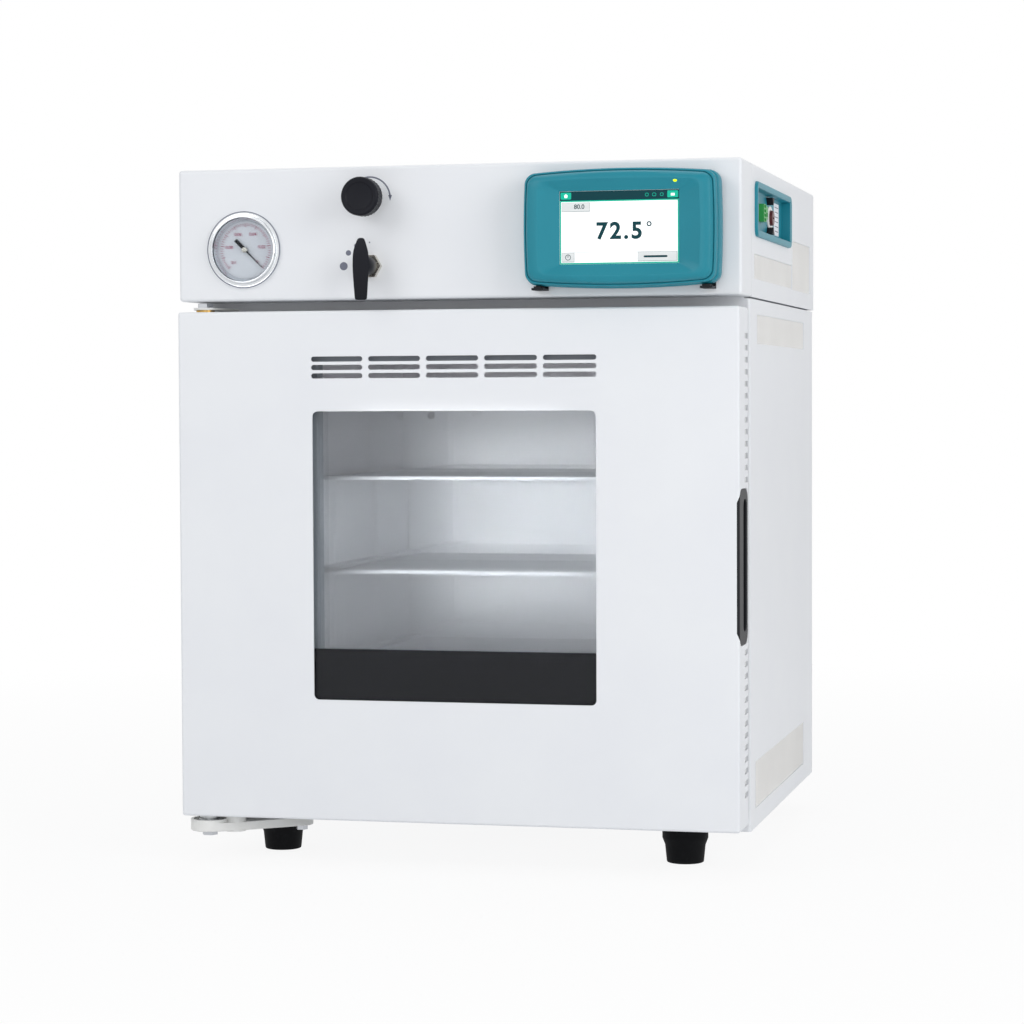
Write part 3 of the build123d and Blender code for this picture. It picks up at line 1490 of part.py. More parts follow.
dial_rise = 4.0
dial_slot = (9.0, 1.6, 1.5)
with BuildPart() as limiter_dial:
    with BuildSketch(upright(pocket_floor + fit)):
        with Locations(limiter_place):
            Circle(limiter_dial_radius)
    extrude(amount=dial_rise)
    chamfer(faces().sort_by(Axis.X)[-1].edges(), 0.6)
    with BuildSketch(upright(pocket_floor + fit + dial_rise)):
        with Locations(limiter_place):
            SlotOverall(dial_slot[0], dial_slot[1])
    extrude(amount=-dial_slot[2], mode=Mode.SUBTRACT)
    with BuildSketch(upright(pocket_floor + fit)):
        with Locations(limiter_place):
            Circle(limiter_shaft)
    extrude(amount=-fit - port_back - 3)
limiter_dial.part.label = "limiter_dial"
export_step(limiter_dial.part, "parts/limiter_dial.step")

# Power inlet with three pins in its recess
inlet_rim = (50.0, 27.0, 3.0)
inlet_recess = (24.0, 16.5, 15.0)
inlet_depth = 22.0
pin_size = (4.0, 2.0)
pin_spread = 7.0
with BuildPart() as power_inlet:
    with BuildSketch(facing(*inlet_place, rear_depth)):
        Rectangle(*inlet_body)
    extrude(amount=inlet_depth)
    with BuildSketch(facing(*inlet_place, rear_depth)):
        RectangleRounded(inlet_rim[0], inlet_rim[1], 5)
    extrude(amount=-inlet_rim[2])
    recess_floor = rear_depth + inlet_rim[2] - inlet_recess[2]
    with BuildSketch(facing(*inlet_place, recess_floor)):
        Rectangle(*inlet_recess[:2])
        chamfer(vertices().group_by(Axis.Y)[-1], 4)
    extrude(amount=-inlet_recess[2], mode=Mode.SUBTRACT)
    with BuildSketch(facing(*inlet_place, recess_floor)):
        with Locations((-pin_spread, -2), (0, 2), (pin_spread, -2)):
            Rectangle(pin_size[1], pin_size[0])
    extrude(amount=-inlet_recess[2] + 2)
power_inlet.part.label = "power_inlet"
export_step(power_inlet.part, "parts/power_inlet.step")

# Circuit breaker and its rocker, which tilts on two stub pins
breaker_rim = (26.0, 34.0, 2.5)
breaker_recess = (13.6, 24.0, 14.0)
breaker_depth = 22.0
rocker_radius = 10.5
rocker_width = 12.8
rocker_tilt = 12.0
rocker_pin = 1.5
rocker_pin_reach = 1.6
rocker_depth = rear_depth + 0.6
with BuildPart() as circuit_breaker:
    with BuildSketch(facing(*breaker_place, rear_depth)):
        Rectangle(*breaker_body)
    extrude(amount=breaker_depth)
    with BuildSketch(facing(*breaker_place, rear_depth)):
        RectangleRounded(breaker_rim[0], breaker_rim[1], 2)
    extrude(amount=-breaker_rim[2])
    with BuildSketch(facing(*breaker_place, rear_depth + breaker_rim[2])):
        Rectangle(*breaker_recess[:2])
    extrude(amount=breaker_recess[2], mode=Mode.SUBTRACT)
    with BuildSketch(upright(breaker_place[0])):
        with Locations((rocker_depth, breaker_place[1])):
            Circle(rocker_pin + running)
    extrude(amount=rocker_width / 2 + rocker_pin_reach + fit, both=True, mode=Mode.SUBTRACT)
circuit_breaker.part.label = "circuit_breaker"
export_step(circuit_breaker.part, "parts/circuit_breaker.step")

with BuildPart() as breaker_rocker:
    with BuildSketch(upright(breaker_place[0])):
        with Locations(Location((rocker_depth, breaker_place[1], 0), (0, 0, rocker_tilt))):
            Circle(rocker_radius)
            with Locations((rocker_radius, 0)):
                Rectangle(2 * rocker_radius, 3 * rocker_radius, mode=Mode.SUBTRACT)
    extrude(amount=rocker_width / 2, both=True)
    with BuildSketch(upright(breaker_place[0])):
        with Locations((rocker_depth, breaker_place[1])):
            Circle(rocker_pin)
    extrude(amount=rocker_width / 2 + rocker_pin_reach, both=True)
breaker_rocker.part.label = "breaker_rocker"
export_step(breaker_rocker.part, "parts/breaker_rocker.step")

# Electronics on the chassis: power supply, heater relay and control board on stand-offs
supply_place = (20.0, 120.0, body_front + 95, body_front + 255)
supply_height = 35.0
relay_place = (150.0, 195.0, body_front + 145, body_front + 203)
relay_height = 25.0
board_place = (10.0, 105.0, riser_depth - 110, riser_depth - 15)
board_rise = 10.0
board_sheet = 1.6
standoff = 3.0
standoff_inset = 6.0
with BuildPart() as control_electronics:
    floor = control_bottom + sheet
    with BuildSketch(level(floor)):
        field(*supply_place, 2)
    extrude(amount=supply_height)
    with BuildSketch(level(floor)):
        field(*relay_place, 1)
    extrude(amount=relay_height)
    with BuildSketch(level(floor)):
        first, last, front, rear = board_place
        for x in (first + standoff_inset, last - standoff_inset):
            for depth in (front + standoff_inset, rear - standoff_inset):
                with Locations((x, depth)):
                    Circle(standoff)
    extrude(amount=board_rise)
    with BuildSketch(level(floor + board_rise)):
        field(*board_place)
    extrude(amount=board_sheet)
control_electronics.part.label = "control_electronics"
export_step(control_electronics.part, "parts/control_electronics.step")
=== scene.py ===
import bpy
from math import cos, pi, radians, sin
from mathutils import Matrix, Vector


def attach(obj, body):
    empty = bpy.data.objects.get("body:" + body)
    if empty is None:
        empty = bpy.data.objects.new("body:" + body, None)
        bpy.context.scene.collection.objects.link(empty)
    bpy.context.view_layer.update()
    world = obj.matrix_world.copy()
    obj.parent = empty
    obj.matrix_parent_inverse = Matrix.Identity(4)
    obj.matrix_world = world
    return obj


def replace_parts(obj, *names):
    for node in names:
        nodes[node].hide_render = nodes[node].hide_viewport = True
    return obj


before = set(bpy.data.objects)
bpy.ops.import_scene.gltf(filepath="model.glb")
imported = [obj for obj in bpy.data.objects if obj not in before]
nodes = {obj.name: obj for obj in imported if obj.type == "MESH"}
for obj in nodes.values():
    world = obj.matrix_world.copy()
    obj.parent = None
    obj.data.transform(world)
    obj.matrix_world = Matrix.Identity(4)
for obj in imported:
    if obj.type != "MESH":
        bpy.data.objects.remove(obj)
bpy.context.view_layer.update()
root = "cabinet"
panelFace = -237.5  # Y of the control panel's face, from which depths are counted back


def at(x, depth, height):
    # place given in millimetres: across, back from the panel face, up from the bench
    return Vector((x, panelFace + depth, height)) / 1000


def unpick():
    if bpy.context.object and bpy.context.object.mode != "OBJECT":
        bpy.ops.object.mode_set(mode="OBJECT")
    bpy.ops.object.select_all(action="DESELECT")


def pick(piece, test, kind="FACE"):
    # opens edit mode with only the faces, edges or points selected whose middle passes the test
    mesh = piece.data
    unpick()
    bpy.context.view_layer.objects.active = piece
    piece.select_set(True)
    for group in (mesh.vertices, mesh.edges, mesh.polygons):
        group.foreach_set("select", [False] * len(group))
    if kind == "FACE":
        for face in mesh.polygons:
            face.select = test(face.center, face.normal)
    elif kind == "EDGE":
        for edge in mesh.edges:
            a, b = (mesh.vertices[i].co for i in edge.vertices)
            edge.select = test((a + b) / 2, (b - a).normalized())
    else:
        for point in mesh.vertices:
            point.select = test(point.co, point.normal)
    bpy.context.tool_settings.mesh_select_mode = (kind == "VERT", kind == "EDGE", kind == "FACE")
    bpy.ops.object.mode_set(mode="EDIT")


def editAll(piece):
    pick(piece, lambda middle, normal: True)
    bpy.ops.mesh.select_all(action="SELECT")


def settle(piece, name, body, material, angle=35):
    # finished piece: modifiers and place applied, smooth up to an angle, riding on its body
    unpick()
    piece.select_set(True)
    bpy.context.view_layer.objects.active = piece
    for modifier in list(piece.modifiers):
        bpy.ops.object.modifier_apply(modifier=modifier.name)
    bpy.ops.object.transform_apply(location=True, rotation=True, scale=True)
    bpy.ops.object.shade_smooth_by_angle(angle=radians(angle))
    piece.name = name
    piece.data.name = name
    piece.data.materials.clear()
    piece.data.materials.append(material)
    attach(piece, body)
    return piece


def joined(pieces):
    unpick()
    for piece in pieces:
        piece.select_set(True)
    bpy.context.view_layer.objects.active = pieces[0]
    if len(pieces) > 1:
        bpy.ops.object.join()
    return bpy.context.object


def softened(piece, width, steps=2, angle=30):
    bevel = piece.modifiers.new("softEdges", "BEVEL")
    bevel.width = width / 1000
    bevel.segments = steps
    bevel.limit_method = "ANGLE"
    bevel.angle_limit = radians(angle)
    return piece


def raised(height):
    # extrudes the selected face along Z
    bpy.ops.mesh.extrude_region_move(TRANSFORM_OT_translate={"value": (0, 0, height / 1000)})


def evened():
    # turns all faces of the piece in edit mode outwards and leaves edit mode
    bpy.ops.mesh.select_all(action="SELECT")
    bpy.ops.mesh.normals_make_consistent(inside=False)
    bpy.ops.object.mode_set(mode="OBJECT")


def turned(profile, sides=64, closed=False):
    # round piece about Z from its section as radius and height in millimetres, built ring by ring
    radius, height = profile[0]
    unpick()
    bpy.ops.mesh.primitive_circle_add(vertices=sides, radius=radius / 1000, location=(0, 0, 0))
    piece = bpy.context.object
    bpy.ops.object.mode_set(mode="EDIT")
    bpy.context.tool_settings.mesh_select_mode = (False, True, False)
    bpy.ops.mesh.select_all(action="SELECT")
    bpy.ops.transform.translate(value=(0, 0, height / 1000))
    if not closed:
        bpy.ops.mesh.edge_face_add()
    for nextRadius, nextHeight in profile[1:]:
        rise = (nextHeight - height) / 1000
        bpy.ops.mesh.extrude_edges_move(TRANSFORM_OT_translate={"value": (0, 0, rise)})
        scale = nextRadius / radius
        bpy.ops.transform.resize(value=(scale, scale, 1), center_override=(0, 0, nextHeight / 1000))
        radius, height = nextRadius, nextHeight
    if not closed:
        bpy.ops.mesh.edge_face_add()
    bpy.ops.mesh.select_all(action="SELECT")
    bpy.ops.mesh.remove_doubles(threshold=0.00001)
    evened()
    return piece


def facingFront(piece, x, depth, height):
    # turns a piece modelled about Z so that its Z comes out of the panel, and stands it at its place
    piece.rotation_euler = (pi / 2, 0, 0)
    piece.location = at(x, depth, height)
    return piece


def sheet(width, height, corner, steps):
    # one flat face in the XY plane, its corners rounded
    unpick()
    bpy.ops.mesh.primitive_plane_add(size=1, location=(0, 0, 0))
    piece = bpy.context.object
    piece.scale = (width / 1000, height / 1000, 1)
    bpy.ops.object.transform_apply(location=False, rotation=False, scale=True)
    if corner > 0:
        pick(piece, lambda middle, normal: True, "VERT")
        bpy.ops.mesh.bevel(offset=corner / 1000, segments=steps, affect="VERTICES")
    return piece


def plate(width, height, thickness, corner=0.0, steps=4):
    # flat plate in the XY plane, its corners rounded, its thickness along Z
    piece = sheet(width, height, corner, steps)
    editAll(piece)
    raised(thickness)
    evened()
    return piece


def disc(radius, sides):
    # one flat face in the XY plane with that many sides
    unpick()
    bpy.ops.mesh.primitive_circle_add(
        vertices=sides, radius=radius / 1000, fill_type="NGON", location=(0, 0, 0)
    )
    return bpy.context.object


def hoop(radius, wire, sides, squash):
    # thin ring in the XY plane, pressed flat
    unpick()
    bpy.ops.mesh.primitive_torus_add(
        major_radius=radius / 1000,
        minor_radius=wire / 1000,
        major_segments=sides,
        minor_segments=4,
        location=(0, 0, 0),
    )
    bpy.context.object.scale = squash
    return bpy.context.object


def lettered(words, size, x, depth, height, thickness, bold, spaced=1.0):
    # raised print of plain figures, made a mesh and stood facing the front
    unpick()
    bpy.ops.object.text_add(location=(0, 0, 0))
    piece = bpy.context.object
    piece.data.body = words
    piece.data.size = size / 1000
    piece.data.offset = bold / 1000
    piece.data.space_character = spaced
    piece.data.extrude = thickness / 2000
    piece.data.align_x = "CENTER"
    piece.data.align_y = "CENTER"
    piece.rotation_euler = (pi / 2, 0, 0)
    piece.location = at(x, depth - thickness / 2, height)
    bpy.ops.object.convert(target="MESH")
    return bpy.context.object


# Camera: the photograph's, from the right of the oven's middle and a little above its window

view = {"place": (0.657, -2.7101, 0.4323), "left": 13.71, "down": 2.316, "roll": -0.252, "lens": 98.44}
bpy.ops.object.camera_add(location=view["place"])
camera = bpy.context.object
camera.name = "photoView"
left, down, roll = (radians(view[key]) for key in ("left", "down", "roll"))
ahead = Vector((-sin(left) * cos(down), cos(left) * cos(down), -sin(down)))
level = Vector((cos(left), sin(left), 0))
upward = level.cross(ahead)
across = level * cos(roll) + upward * sin(roll)
above = upward * cos(roll) - level * sin(roll)
turn = Matrix((across, above, -ahead)).transposed()
camera.matrix_world = Matrix.Translation(view["place"]) @ turn.to_4x4()
camera.data.lens = view["lens"]
camera.data.sensor_width = 36
bpy.context.scene.camera = camera
bpy.context.scene.view_settings.view_transform = "Standard"
print("camera set")


# Finishes

def tint(hexValue):
    # sRGB hex to the linear colour that shaders take
    parts = [int(hexValue[i : i + 2], 16) / 255 for i in (1, 3, 5)]
    linear = [p / 12.92 if p <= 0.04045 else ((p + 0.055) / 1.055) ** 2.4 for p in parts]
    return (*linear, 1)


def addNode(tree, kind, settings=None, **links):
    # one node with its settings, and its inputs by name: a socket is linked, a value is set
    node = tree.nodes.new(kind)
    for key, value in (settings or {}).items():
        setattr(node, key, value)
    for key, value in links.items():
        socket = node.inputs[int(key[1:])] if key[1:].isdigit() else node.inputs[key.replace("_", " ")]
        if isinstance(value, bpy.types.NodeSocket):
            tree.links.new(value, socket)
        else:
            socket.default_value = value
    return node


def blank(name):
    material = bpy.data.materials.new(name)
    material.use_nodes = True
    tree = material.node_tree
    tree.nodes.clear()
    place = addNode(tree, "ShaderNodeTexCoord").outputs["Object"]
    return material, tree, place


def close(tree, shader):
    addNode(tree, "ShaderNodeOutputMaterial", Surface=shader)


def spread(tree, pattern, low, high):
    # a pattern from 0 to 1 as a narrow range of values
    return addNode(tree, "ShaderNodeMapRange", None, Value=pattern, To_Min=low, To_Max=high).outputs[0]


def larger(tree, first, second):
    return addNode(tree, "ShaderNodeMath", {"operation": "MAXIMUM"}, i0=first, i1=second).outputs[0]


def noise(tree, place, scale, detail):
    return addNode(tree, "ShaderNodeTexNoise", None, Vector=place, Scale=scale, Detail=detail).outputs[0]


def relief(tree, height, strength, distance):
    return addNode(tree, "ShaderNodeBump", None, Height=height, Strength=strength, Distance=distance).outputs[0]


def twoTone(tree, pattern, first, second):
    ramp = addNode(tree, "ShaderNodeValToRGB", None, Fac=pattern)
    ramp.color_ramp.elements[0].position, ramp.color_ramp.elements[1].position = 0.3, 0.7
    ramp.color_ramp.elements[0].color, ramp.color_ramp.elements[1].color = tint(first), tint(second)
    return ramp.outputs[0]


def coated(name, first, second, grain, depth, rough, shine=0.5, patch=90.0):
    # paint or moulded plastic: two near tones in soft patches, a surface grain in millimetres and
    # a sheen that wanders a little, which keeps a large plain face from looking printed
    material, tree, place = blank(name)
    patches = noise(tree, place, 1000 / patch, 3.0)
    skin = noise(tree, place, 1000 / grain, 2.0)
    shader = addNode(
        tree,
        "ShaderNodeBsdfPrincipled",
        None,
        Base_Color=twoTone(tree, patches, first, second),
        Roughness=spread(tree, patches, rough - 0.04, rough + 0.04),
        IOR=1.5,
        Specular_IOR_Level=shine,
        Normal=relief(tree, skin, depth, 0.0004),
    )
    close(tree, shader.outputs[0])
    return material


def metal(name, first, second, grain, stretch, depth, rough, bare=1.0):
    # bare metal: scratches or rolling marks drawn long along one axis, which break up what it mirrors
    material, tree, place = blank(name)
    scale = [1000 / grain / s for s in stretch]
    drawn = addNode(tree, "ShaderNodeMapping", None, Vector=place, Scale=scale).outputs[0]
    marks = noise(tree, drawn, 1.0, 4.0)
    cloud = noise(tree, place, 9.0, 2.0)
    shader = addNode(
        tree,
        "ShaderNodeBsdfPrincipled",
        None,
        Base_Color=twoTone(tree, cloud, first, second),
        Metallic=bare,
        Roughness=spread(tree, marks, rough - 0.08, rough + 0.1),
        Normal=relief(tree, marks, depth, 0.0002),
    )
    close(tree, shader.outputs[0])
    return material


def pane(name, glassTone, letThrough, rough, straight=0.75):
    # float glass: bends and mirrors a share of what the eye sees and lets the rest straight through, as
    # it does with all the light of the lamps
    material, tree, place = blank(name)
    ripple = noise(tree, place, 14.0, 1.0)
    glass = addNode(
        tree,
        "ShaderNodeBsdfPrincipled",
        None,
        Base_Color=tint(glassTone),
        Roughness=rough,
        IOR=1.5,
        Transmission_Weight=1.0,
        Specular_IOR_Level=0.12,
        Normal=relief(tree, ripple, 0.02, 0.001),
    ).outputs[0]
    clear = addNode(tree, "ShaderNodeBsdfTransparent", None, Color=tint(letThrough)).outputs[0]
    path = addNode(tree, "ShaderNodeLightPath")
    lamp = larger(tree, path.outputs["Is Shadow Ray"], path.outputs["Is Diffuse Ray"])
    share = larger(tree, lamp, straight)
    close(tree, addNode(tree, "ShaderNodeMixShader", None, i0=share, i1=glass, i2=clear).outputs[0])
    return material


def printed(name, ink, rough=0.5, shine=0.5):
    # screen-printed ink: flat colour with the faint mottle of a thin film
    material, tree, place = blank(name)
    film = spread(tree, noise(tree, place, 700.0, 2.0), 0.94, 1.06)
    shade = addNode(tree, "ShaderNodeHueSaturation", None, Value=film, Color=tint(ink))
    shader = addNode(
        tree,
        "ShaderNodeBsdfPrincipled",
        None,
        Base_Color=shade.outputs[0],
        Roughness=rough,
        Specular_IOR_Level=shine,
    )
    close(tree, shader.outputs[0])
    return material


def litUp(name, tone, glow, rough=0.25):
    # backlit display or lamp: its own colour under the front sheet, lit from behind
    material, tree, place = blank(name)
    cells = spread(tree, noise(tree, place, 60.0, 1.0), 0.97, 1.03)
    shade = addNode(tree, "ShaderNodeHueSaturation", None, Value=cells, Color=tint(tone))
    shader = addNode(
        tree,
        "ShaderNodeBsdfPrincipled",
        None,
        Base_Color=shade.outputs[0],
        Roughness=rough,
        Specular_IOR_Level=0.12,
        Emission_Color=tint(tone),
        Emission_Strength=glow,
    )
    close(tree, shader.outputs[0])
    return material


powderCoat = coated("polyesterPowderCoatWhite", "#E9EBEF", "#ECEEF1", 3.0, 0.05, 0.42)
hingePaint = coated("castAluminiumPaintedWhite", "#E6E6E2", "#EAEAE8", 2.0, 0.12, 0.4)
grilleSheet = coated("mouldedAbsWarmWhite", "#EFEEEC", "#F4F3F1", 2.0, 0.1, 0.55)
tealAbs = coated("mouldedAbsTealLacquer", "#148092", "#1B889A", 1.6, 0.14, 0.4, 0.34)
blackAbs = coated("mouldedAbsBlack", "#0D0F15", "#13151B", 1.2, 0.25, 0.48, 0.22)
blackGloss = coated("mouldedNylonBlack", "#0A0B13", "#10121B", 1.5, 0.12, 0.4, 0.16)
frameGrey = coated("sheetSteelPaintedGrey", "#8F949C", "#969BA3", 2.0, 0.1, 0.45)
footRubber = coated("mouldedNeopreneBlack", "#050609", "#090A0D", 1.8, 0.3, 0.68, 0.12)
siliconeSeal = coated("mouldedSiliconeRed", "#B65A43", "#C0664D", 1.5, 0.12, 0.5)
glassWool = coated("needledGlassWool", "#D9CFA9", "#E6DDBD", 4.0, 0.9, 0.95)
heaterSheet = coated("siliconeHeaterMat", "#8C3A2B", "#9A4636", 2.0, 0.25, 0.6)
greenNylon = coated("mouldedNylonGreen", "#2F9A45", "#37A64E", 1.0, 0.1, 0.4)
limiterWhite = coated("mouldedAbsWhite", "#E8E8E6", "#F0F0EE", 1.2, 0.1, 0.35)
limiterRed = coated("mouldedAbsOxblood", "#4A1518", "#571B1E", 1.0, 0.15, 0.35)
boardGreen = coated("solderMaskGreen", "#1E5B34", "#256B3E", 1.5, 0.2, 0.35)
dialCard = coated("enamelledDialWhite", "#F4F4FA", "#F8F8FC", 1.0, 0.05, 0.5)
chamberSteel = metal("stainlessMatt2B", "#F3F2F5", "#F9F8FA", 3.0, (1, 8, 1), 0.25, 0.42, 0.35)
plateSteel = metal("stainlessBrushed", "#BFC2C4", "#C8CACC", 0.8, (40, 1, 1), 0.3, 0.32)
shelfAluminium = metal("rolledAluminiumSatin", "#F2F2F4", "#F8F8F9", 1.0, (1, 40, 1), 0.2, 0.3, 0.5)
zincSteel = metal("steelZincPlated", "#B9BCC2", "#C6C8CB", 2.5, (1, 1, 1), 0.2, 0.34)
nickelBrass = metal("brassNickelPlated", "#C9C5BB", "#D2CEC6", 1.2, (1, 1, 1), 0.12, 0.24)
barBrass = metal("turnedBrass", "#B08D4C", "#BC9A5A", 0.8, (1, 1, 12), 0.2, 0.3)
chromePlate = metal("polishedChromePlate", "#D5D8DC", "#DEE1E4", 3.0, (1, 1, 1), 0.03, 0.12)
innerPane = pane("toughenedFloatGlass", "#FDFDFE", "#FBFBFC", 0.0)
outerPane = pane("floatGlassGreyTint", "#F4F6F8", "#F8FAFA", 0.0)
gaugePane = pane("gaugeGlassClear", "#FAFBFC", "#F2F4F5", 0.0)
panelInk = printed("screenPrintGrey", "#6C7080")
dialInk = printed("screenPrintMagenta", "#B23F6B")
bandInk = printed("ceramicFritBlack", "#0B0B13", 0.5, 0.1)
screenWhite = litUp("displayWhite", "#F4F6F6", 0.45)
screenDark = litUp("displayDeepTeal", "#00363D", 0.3)
screenGreen = litUp("displayGreen", "#12A88C", 0.45)
screenPale = litUp("displayPaleGrey", "#DEE1E1", 0.12)
screenLine = litUp("displayLineGrey", "#A3AAAB", 0.12)
ledGlow = litUp("ledLimeGreen", "#C6E81C", 0.9, 0.3)

nodeFinish = {
    powderCoat: "side_panel_left side_panel_right top_deck rear_panel control_front_panel control_cover "
    "control_rear_panel door_outer_skin",
    hingePaint: "hinge_bracket_bottom hinge_bracket_top",
    grilleSheet: "ventilation_grilles",
    tealAbs: "display_housing display_fascia port_housing",
    frameGrey: "window_frame",
    blackAbs: "door_handle display_bracket door_magnets power_inlet circuit_breaker breaker_rocker",
    blackGloss: "vent_knob vacuum_lever gauge_pointer",
    footRubber: "feet",
    siliconeSeal: "chamber_gasket",
    glassWool: "insulation_blanket",
    heaterSheet: "heater_mats",
    greenNylon: "terminal_block",
    limiterWhite: "limiter_escutcheon",
    limiterRed: "limiter_dial",
    boardGreen: "control_electronics",
    dialCard: "gauge_dial",
    chamberSteel: "vacuum_chamber temperature_probe",
    plateSteel: "front_plate door_inner_pan glass_retainers vacuum_tubes vacuum_port hinge_washers",
    shelfAluminium: "shelf_lower shelf_upper",
    zincSteel: "base_plate control_chassis hinge_bolts magnet_keepers door_hinge_blocks",
    nickelBrass: "vent_stem vent_valve vacuum_valve vent_inlet",
    barBrass: "hinge_bushes",
    chromePlate: "gauge_case gauge_bezel",
    innerPane: "door_inner_glass",
    outerPane: "door_outer_glass",
    gaugePane: "gauge_lens",
    screenWhite: "touch_screen",
    ledGlow: "status_led",
}
for material, names in nodeFinish.items():
    for name in names.split():
        nodes[name].data.materials.clear()
        nodes[name].data.materials.append(material)
print("finishes set")


# Studio: a pale floor that fades into white, and soft lamps

def studioFloor():
    material, tree, place = blank("paleSweep")
    wide = addNode(tree, "ShaderNodeMapping", None, Vector=place, Scale=(0.55, 0.55, 0.55)).outputs[0]
    far = addNode(tree, "ShaderNodeTexGradient", {"gradient_type": "SPHERICAL"}, Vector=wide).outputs[1]
    near = spread(tree, far, 0.0, 1.0)
    paper = addNode(tree, "ShaderNodeBsdfDiffuse", None, Color=tint("#F4F5F6")).outputs[0]
    white = addNode(tree, "ShaderNodeEmission", None, Color=(1, 1, 1, 1), Strength=1.0).outputs[0]
    path = addNode(tree, "ShaderNodeLightPath")
    seen = larger(tree, path.outputs["Is Camera Ray"], path.outputs["Is Glossy Ray"])
    seen = larger(tree, seen, path.outputs["Is Transmission Ray"])
    share = addNode(tree, "ShaderNodeMath", {"operation": "MULTIPLY_ADD"}, i0=near, i1=-0.12, i2=1.0).outputs[0]
    fade = addNode(tree, "ShaderNodeMath", {"operation": "MULTIPLY"}, i0=seen, i1=share).outputs[0]
    close(tree, addNode(tree, "ShaderNodeMixShader", None, i0=fade, i1=paper, i2=white).outputs[0])
    return material


unpick()
bpy.ops.mesh.primitive_plane_add(size=16, location=(0, 0, -0.0004))
floor = bpy.context.object
editAll(floor)
bpy.ops.mesh.subdivide(number_cuts=6)
bpy.ops.object.mode_set(mode="OBJECT")
bpy.ops.object.transform_apply(location=True, rotation=True, scale=True)
floor.name = "studioFloor"
floor.data.materials.append(studioFloor())

world = bpy.data.worlds.new("whiteStudio")
world.use_nodes = True
bpy.context.scene.world = world
sky = world.node_tree
sky.nodes.clear()
path = addNode(sky, "ShaderNodeLightPath")
straight = larger(sky, path.outputs["Is Camera Ray"], path.outputs["Is Transmission Ray"])
straight = larger(sky, straight, path.outputs["Is Glossy Ray"])
soft = addNode(sky, "ShaderNodeBackground", None, Color=(0.97, 0.98, 1, 1), Strength=0.42).outputs[0]
bright = addNode(sky, "ShaderNodeBackground", None, Color=(1, 1, 1, 1), Strength=1.0).outputs[0]
mixed = addNode(sky, "ShaderNodeMixShader", None, i0=straight, i1=soft, i2=bright).outputs[0]
addNode(sky, "ShaderNodeOutputWorld", None, Surface=mixed)

lamps = {
    "keySoftbox": {"place": (-1.7, -2.6, 1.9), "aim": (0, -0.2, 0.35), "size": 1.8, "power": 22},
    "frontSoftbox": {"place": (0.35, -3.1, 0.8), "aim": (0, 0, 0.33), "size": 1.6, "power": 11},
    "windowSoftbox": {
        "place": (0.03, -0.62, 0.315),
        "aim": (-0.01, 0, 0.31),
        "size": 0.19,
        "power": 0.19,
        "cone": 9,  # degrees, narrow enough to pass the window
    },
    "fillSoftbox": {"place": (2.6, -1.6, 1.2), "aim": (0.1, 0, 0.3), "size": 1.8, "power": 30},
    "topSoftbox": {"place": (0.1, 0.3, 2.9), "aim": (0, 0, 0.3), "size": 2.2, "power": 16},
}
for name, lamp in lamps.items():
    bpy.ops.object.light_add(type="AREA", location=lamp["place"])
    light = bpy.context.object
    light.name = name
    toAim = Vector(lamp["aim"]) - Vector(lamp["place"])
    light.rotation_euler = toAim.to_track_quat("-Z", "Y").to_euler()
    light.data.size = lamp["size"]
    light.data.energy = lamp["power"]
    if "cone" in lamp:
        light.data.spread = radians(lamp["cone"])
        light.visible_camera = False
        light.visible_glossy = False
print("studio lit")


# Controller: bowed housing, fascia with a groove, a crest and a funnel down to the screen, and its light

controller = {
    "x": 160.0,
    "z": 584.0,
    "size": (174.7, 105.0),
    "corner": 9.0,
    "bow": (1.5, 4.0),  # how far the corners are drawn in across and up
    "fasciaBack": 21.0,
    "loops": [  # width, height and reach of each ring, from the parting groove to the screen
        (174.7, 105.0, 28.6),
        (173.7, 104.2, 29.8),
        (172.0, 102.6, 30.4),
        (170.9, 101.6, 30.4),
        (170.7, 101.4, 29.0),
        (169.5, 100.4, 29.0),
        (169.3, 100.2, 31.2),
        (168.2, 99.5, 32.6),
        (165.0, 97.0, 34.6),
        (157.0, 91.6, 36.3),
        (149.5, 87.2, 36.95),
        (147.5, 85.6, 36.95),
        (144.5, 83.6, 36.2),
        (109.0, 65.6, 31.1),
        (108.2, 64.9, 30.9),
        (108.2, 64.9, 29.6),
    ],
    "crestFrom": 0.75,
    "crestSwell": 0.018,
    "housingCorner": 8.8,
    "rings": [  # the housing's, from its back to the fascia
        (175.6, 104.4, 4.0),
        (178.0, 106.6, 5.4),
        (178.6, 107.0, 8.0),
        (178.6, 107.0, 16.2),
        (177.6, 106.0, 18.8),
        (174.6, 103.4, 20.0),
        (171.0, 100.0, 20.0),
        (171.0, 100.0, 21.0),
    ],
    "screen": (108.0, 64.8),
    "lens": [(2.1, 0), (2.1, 0.8), (1.5, 1.2), (0.3, 1.35)],
    "lensReach": 35.0,
}


def bowOut(piece, width, height, bowX, bowY):
    # draws the sides of a rounded plate in towards its corners, which leaves them swelling in the middle
    for point in piece.data.vertices:
        x, y = point.co.x / (width / 2000), point.co.y / (height / 2000)
        point.co.x -= x * bowX / 1000 * y * y
        point.co.y -= y * bowY / 1000 * x * x


def squared(points, width, height):
    # draws a ring of points out to the sides of a sharp rectangle, the nearest to each corner into it
    halfX, halfY = width / 2000, height / 2000
    for point in points:
        far = max(abs(point.co.x) / halfX, abs(point.co.y) / halfY)
        point.co.x, point.co.y = point.co.x / far, point.co.y / far
    for signX in (-1, 1):
        for signY in (-1, 1):
            corner = Vector((signX * halfX, signY * halfY))
            nearest = min(points, key=lambda p: (p.co.xy - corner).length)
            nearest.co.x, nearest.co.y = corner


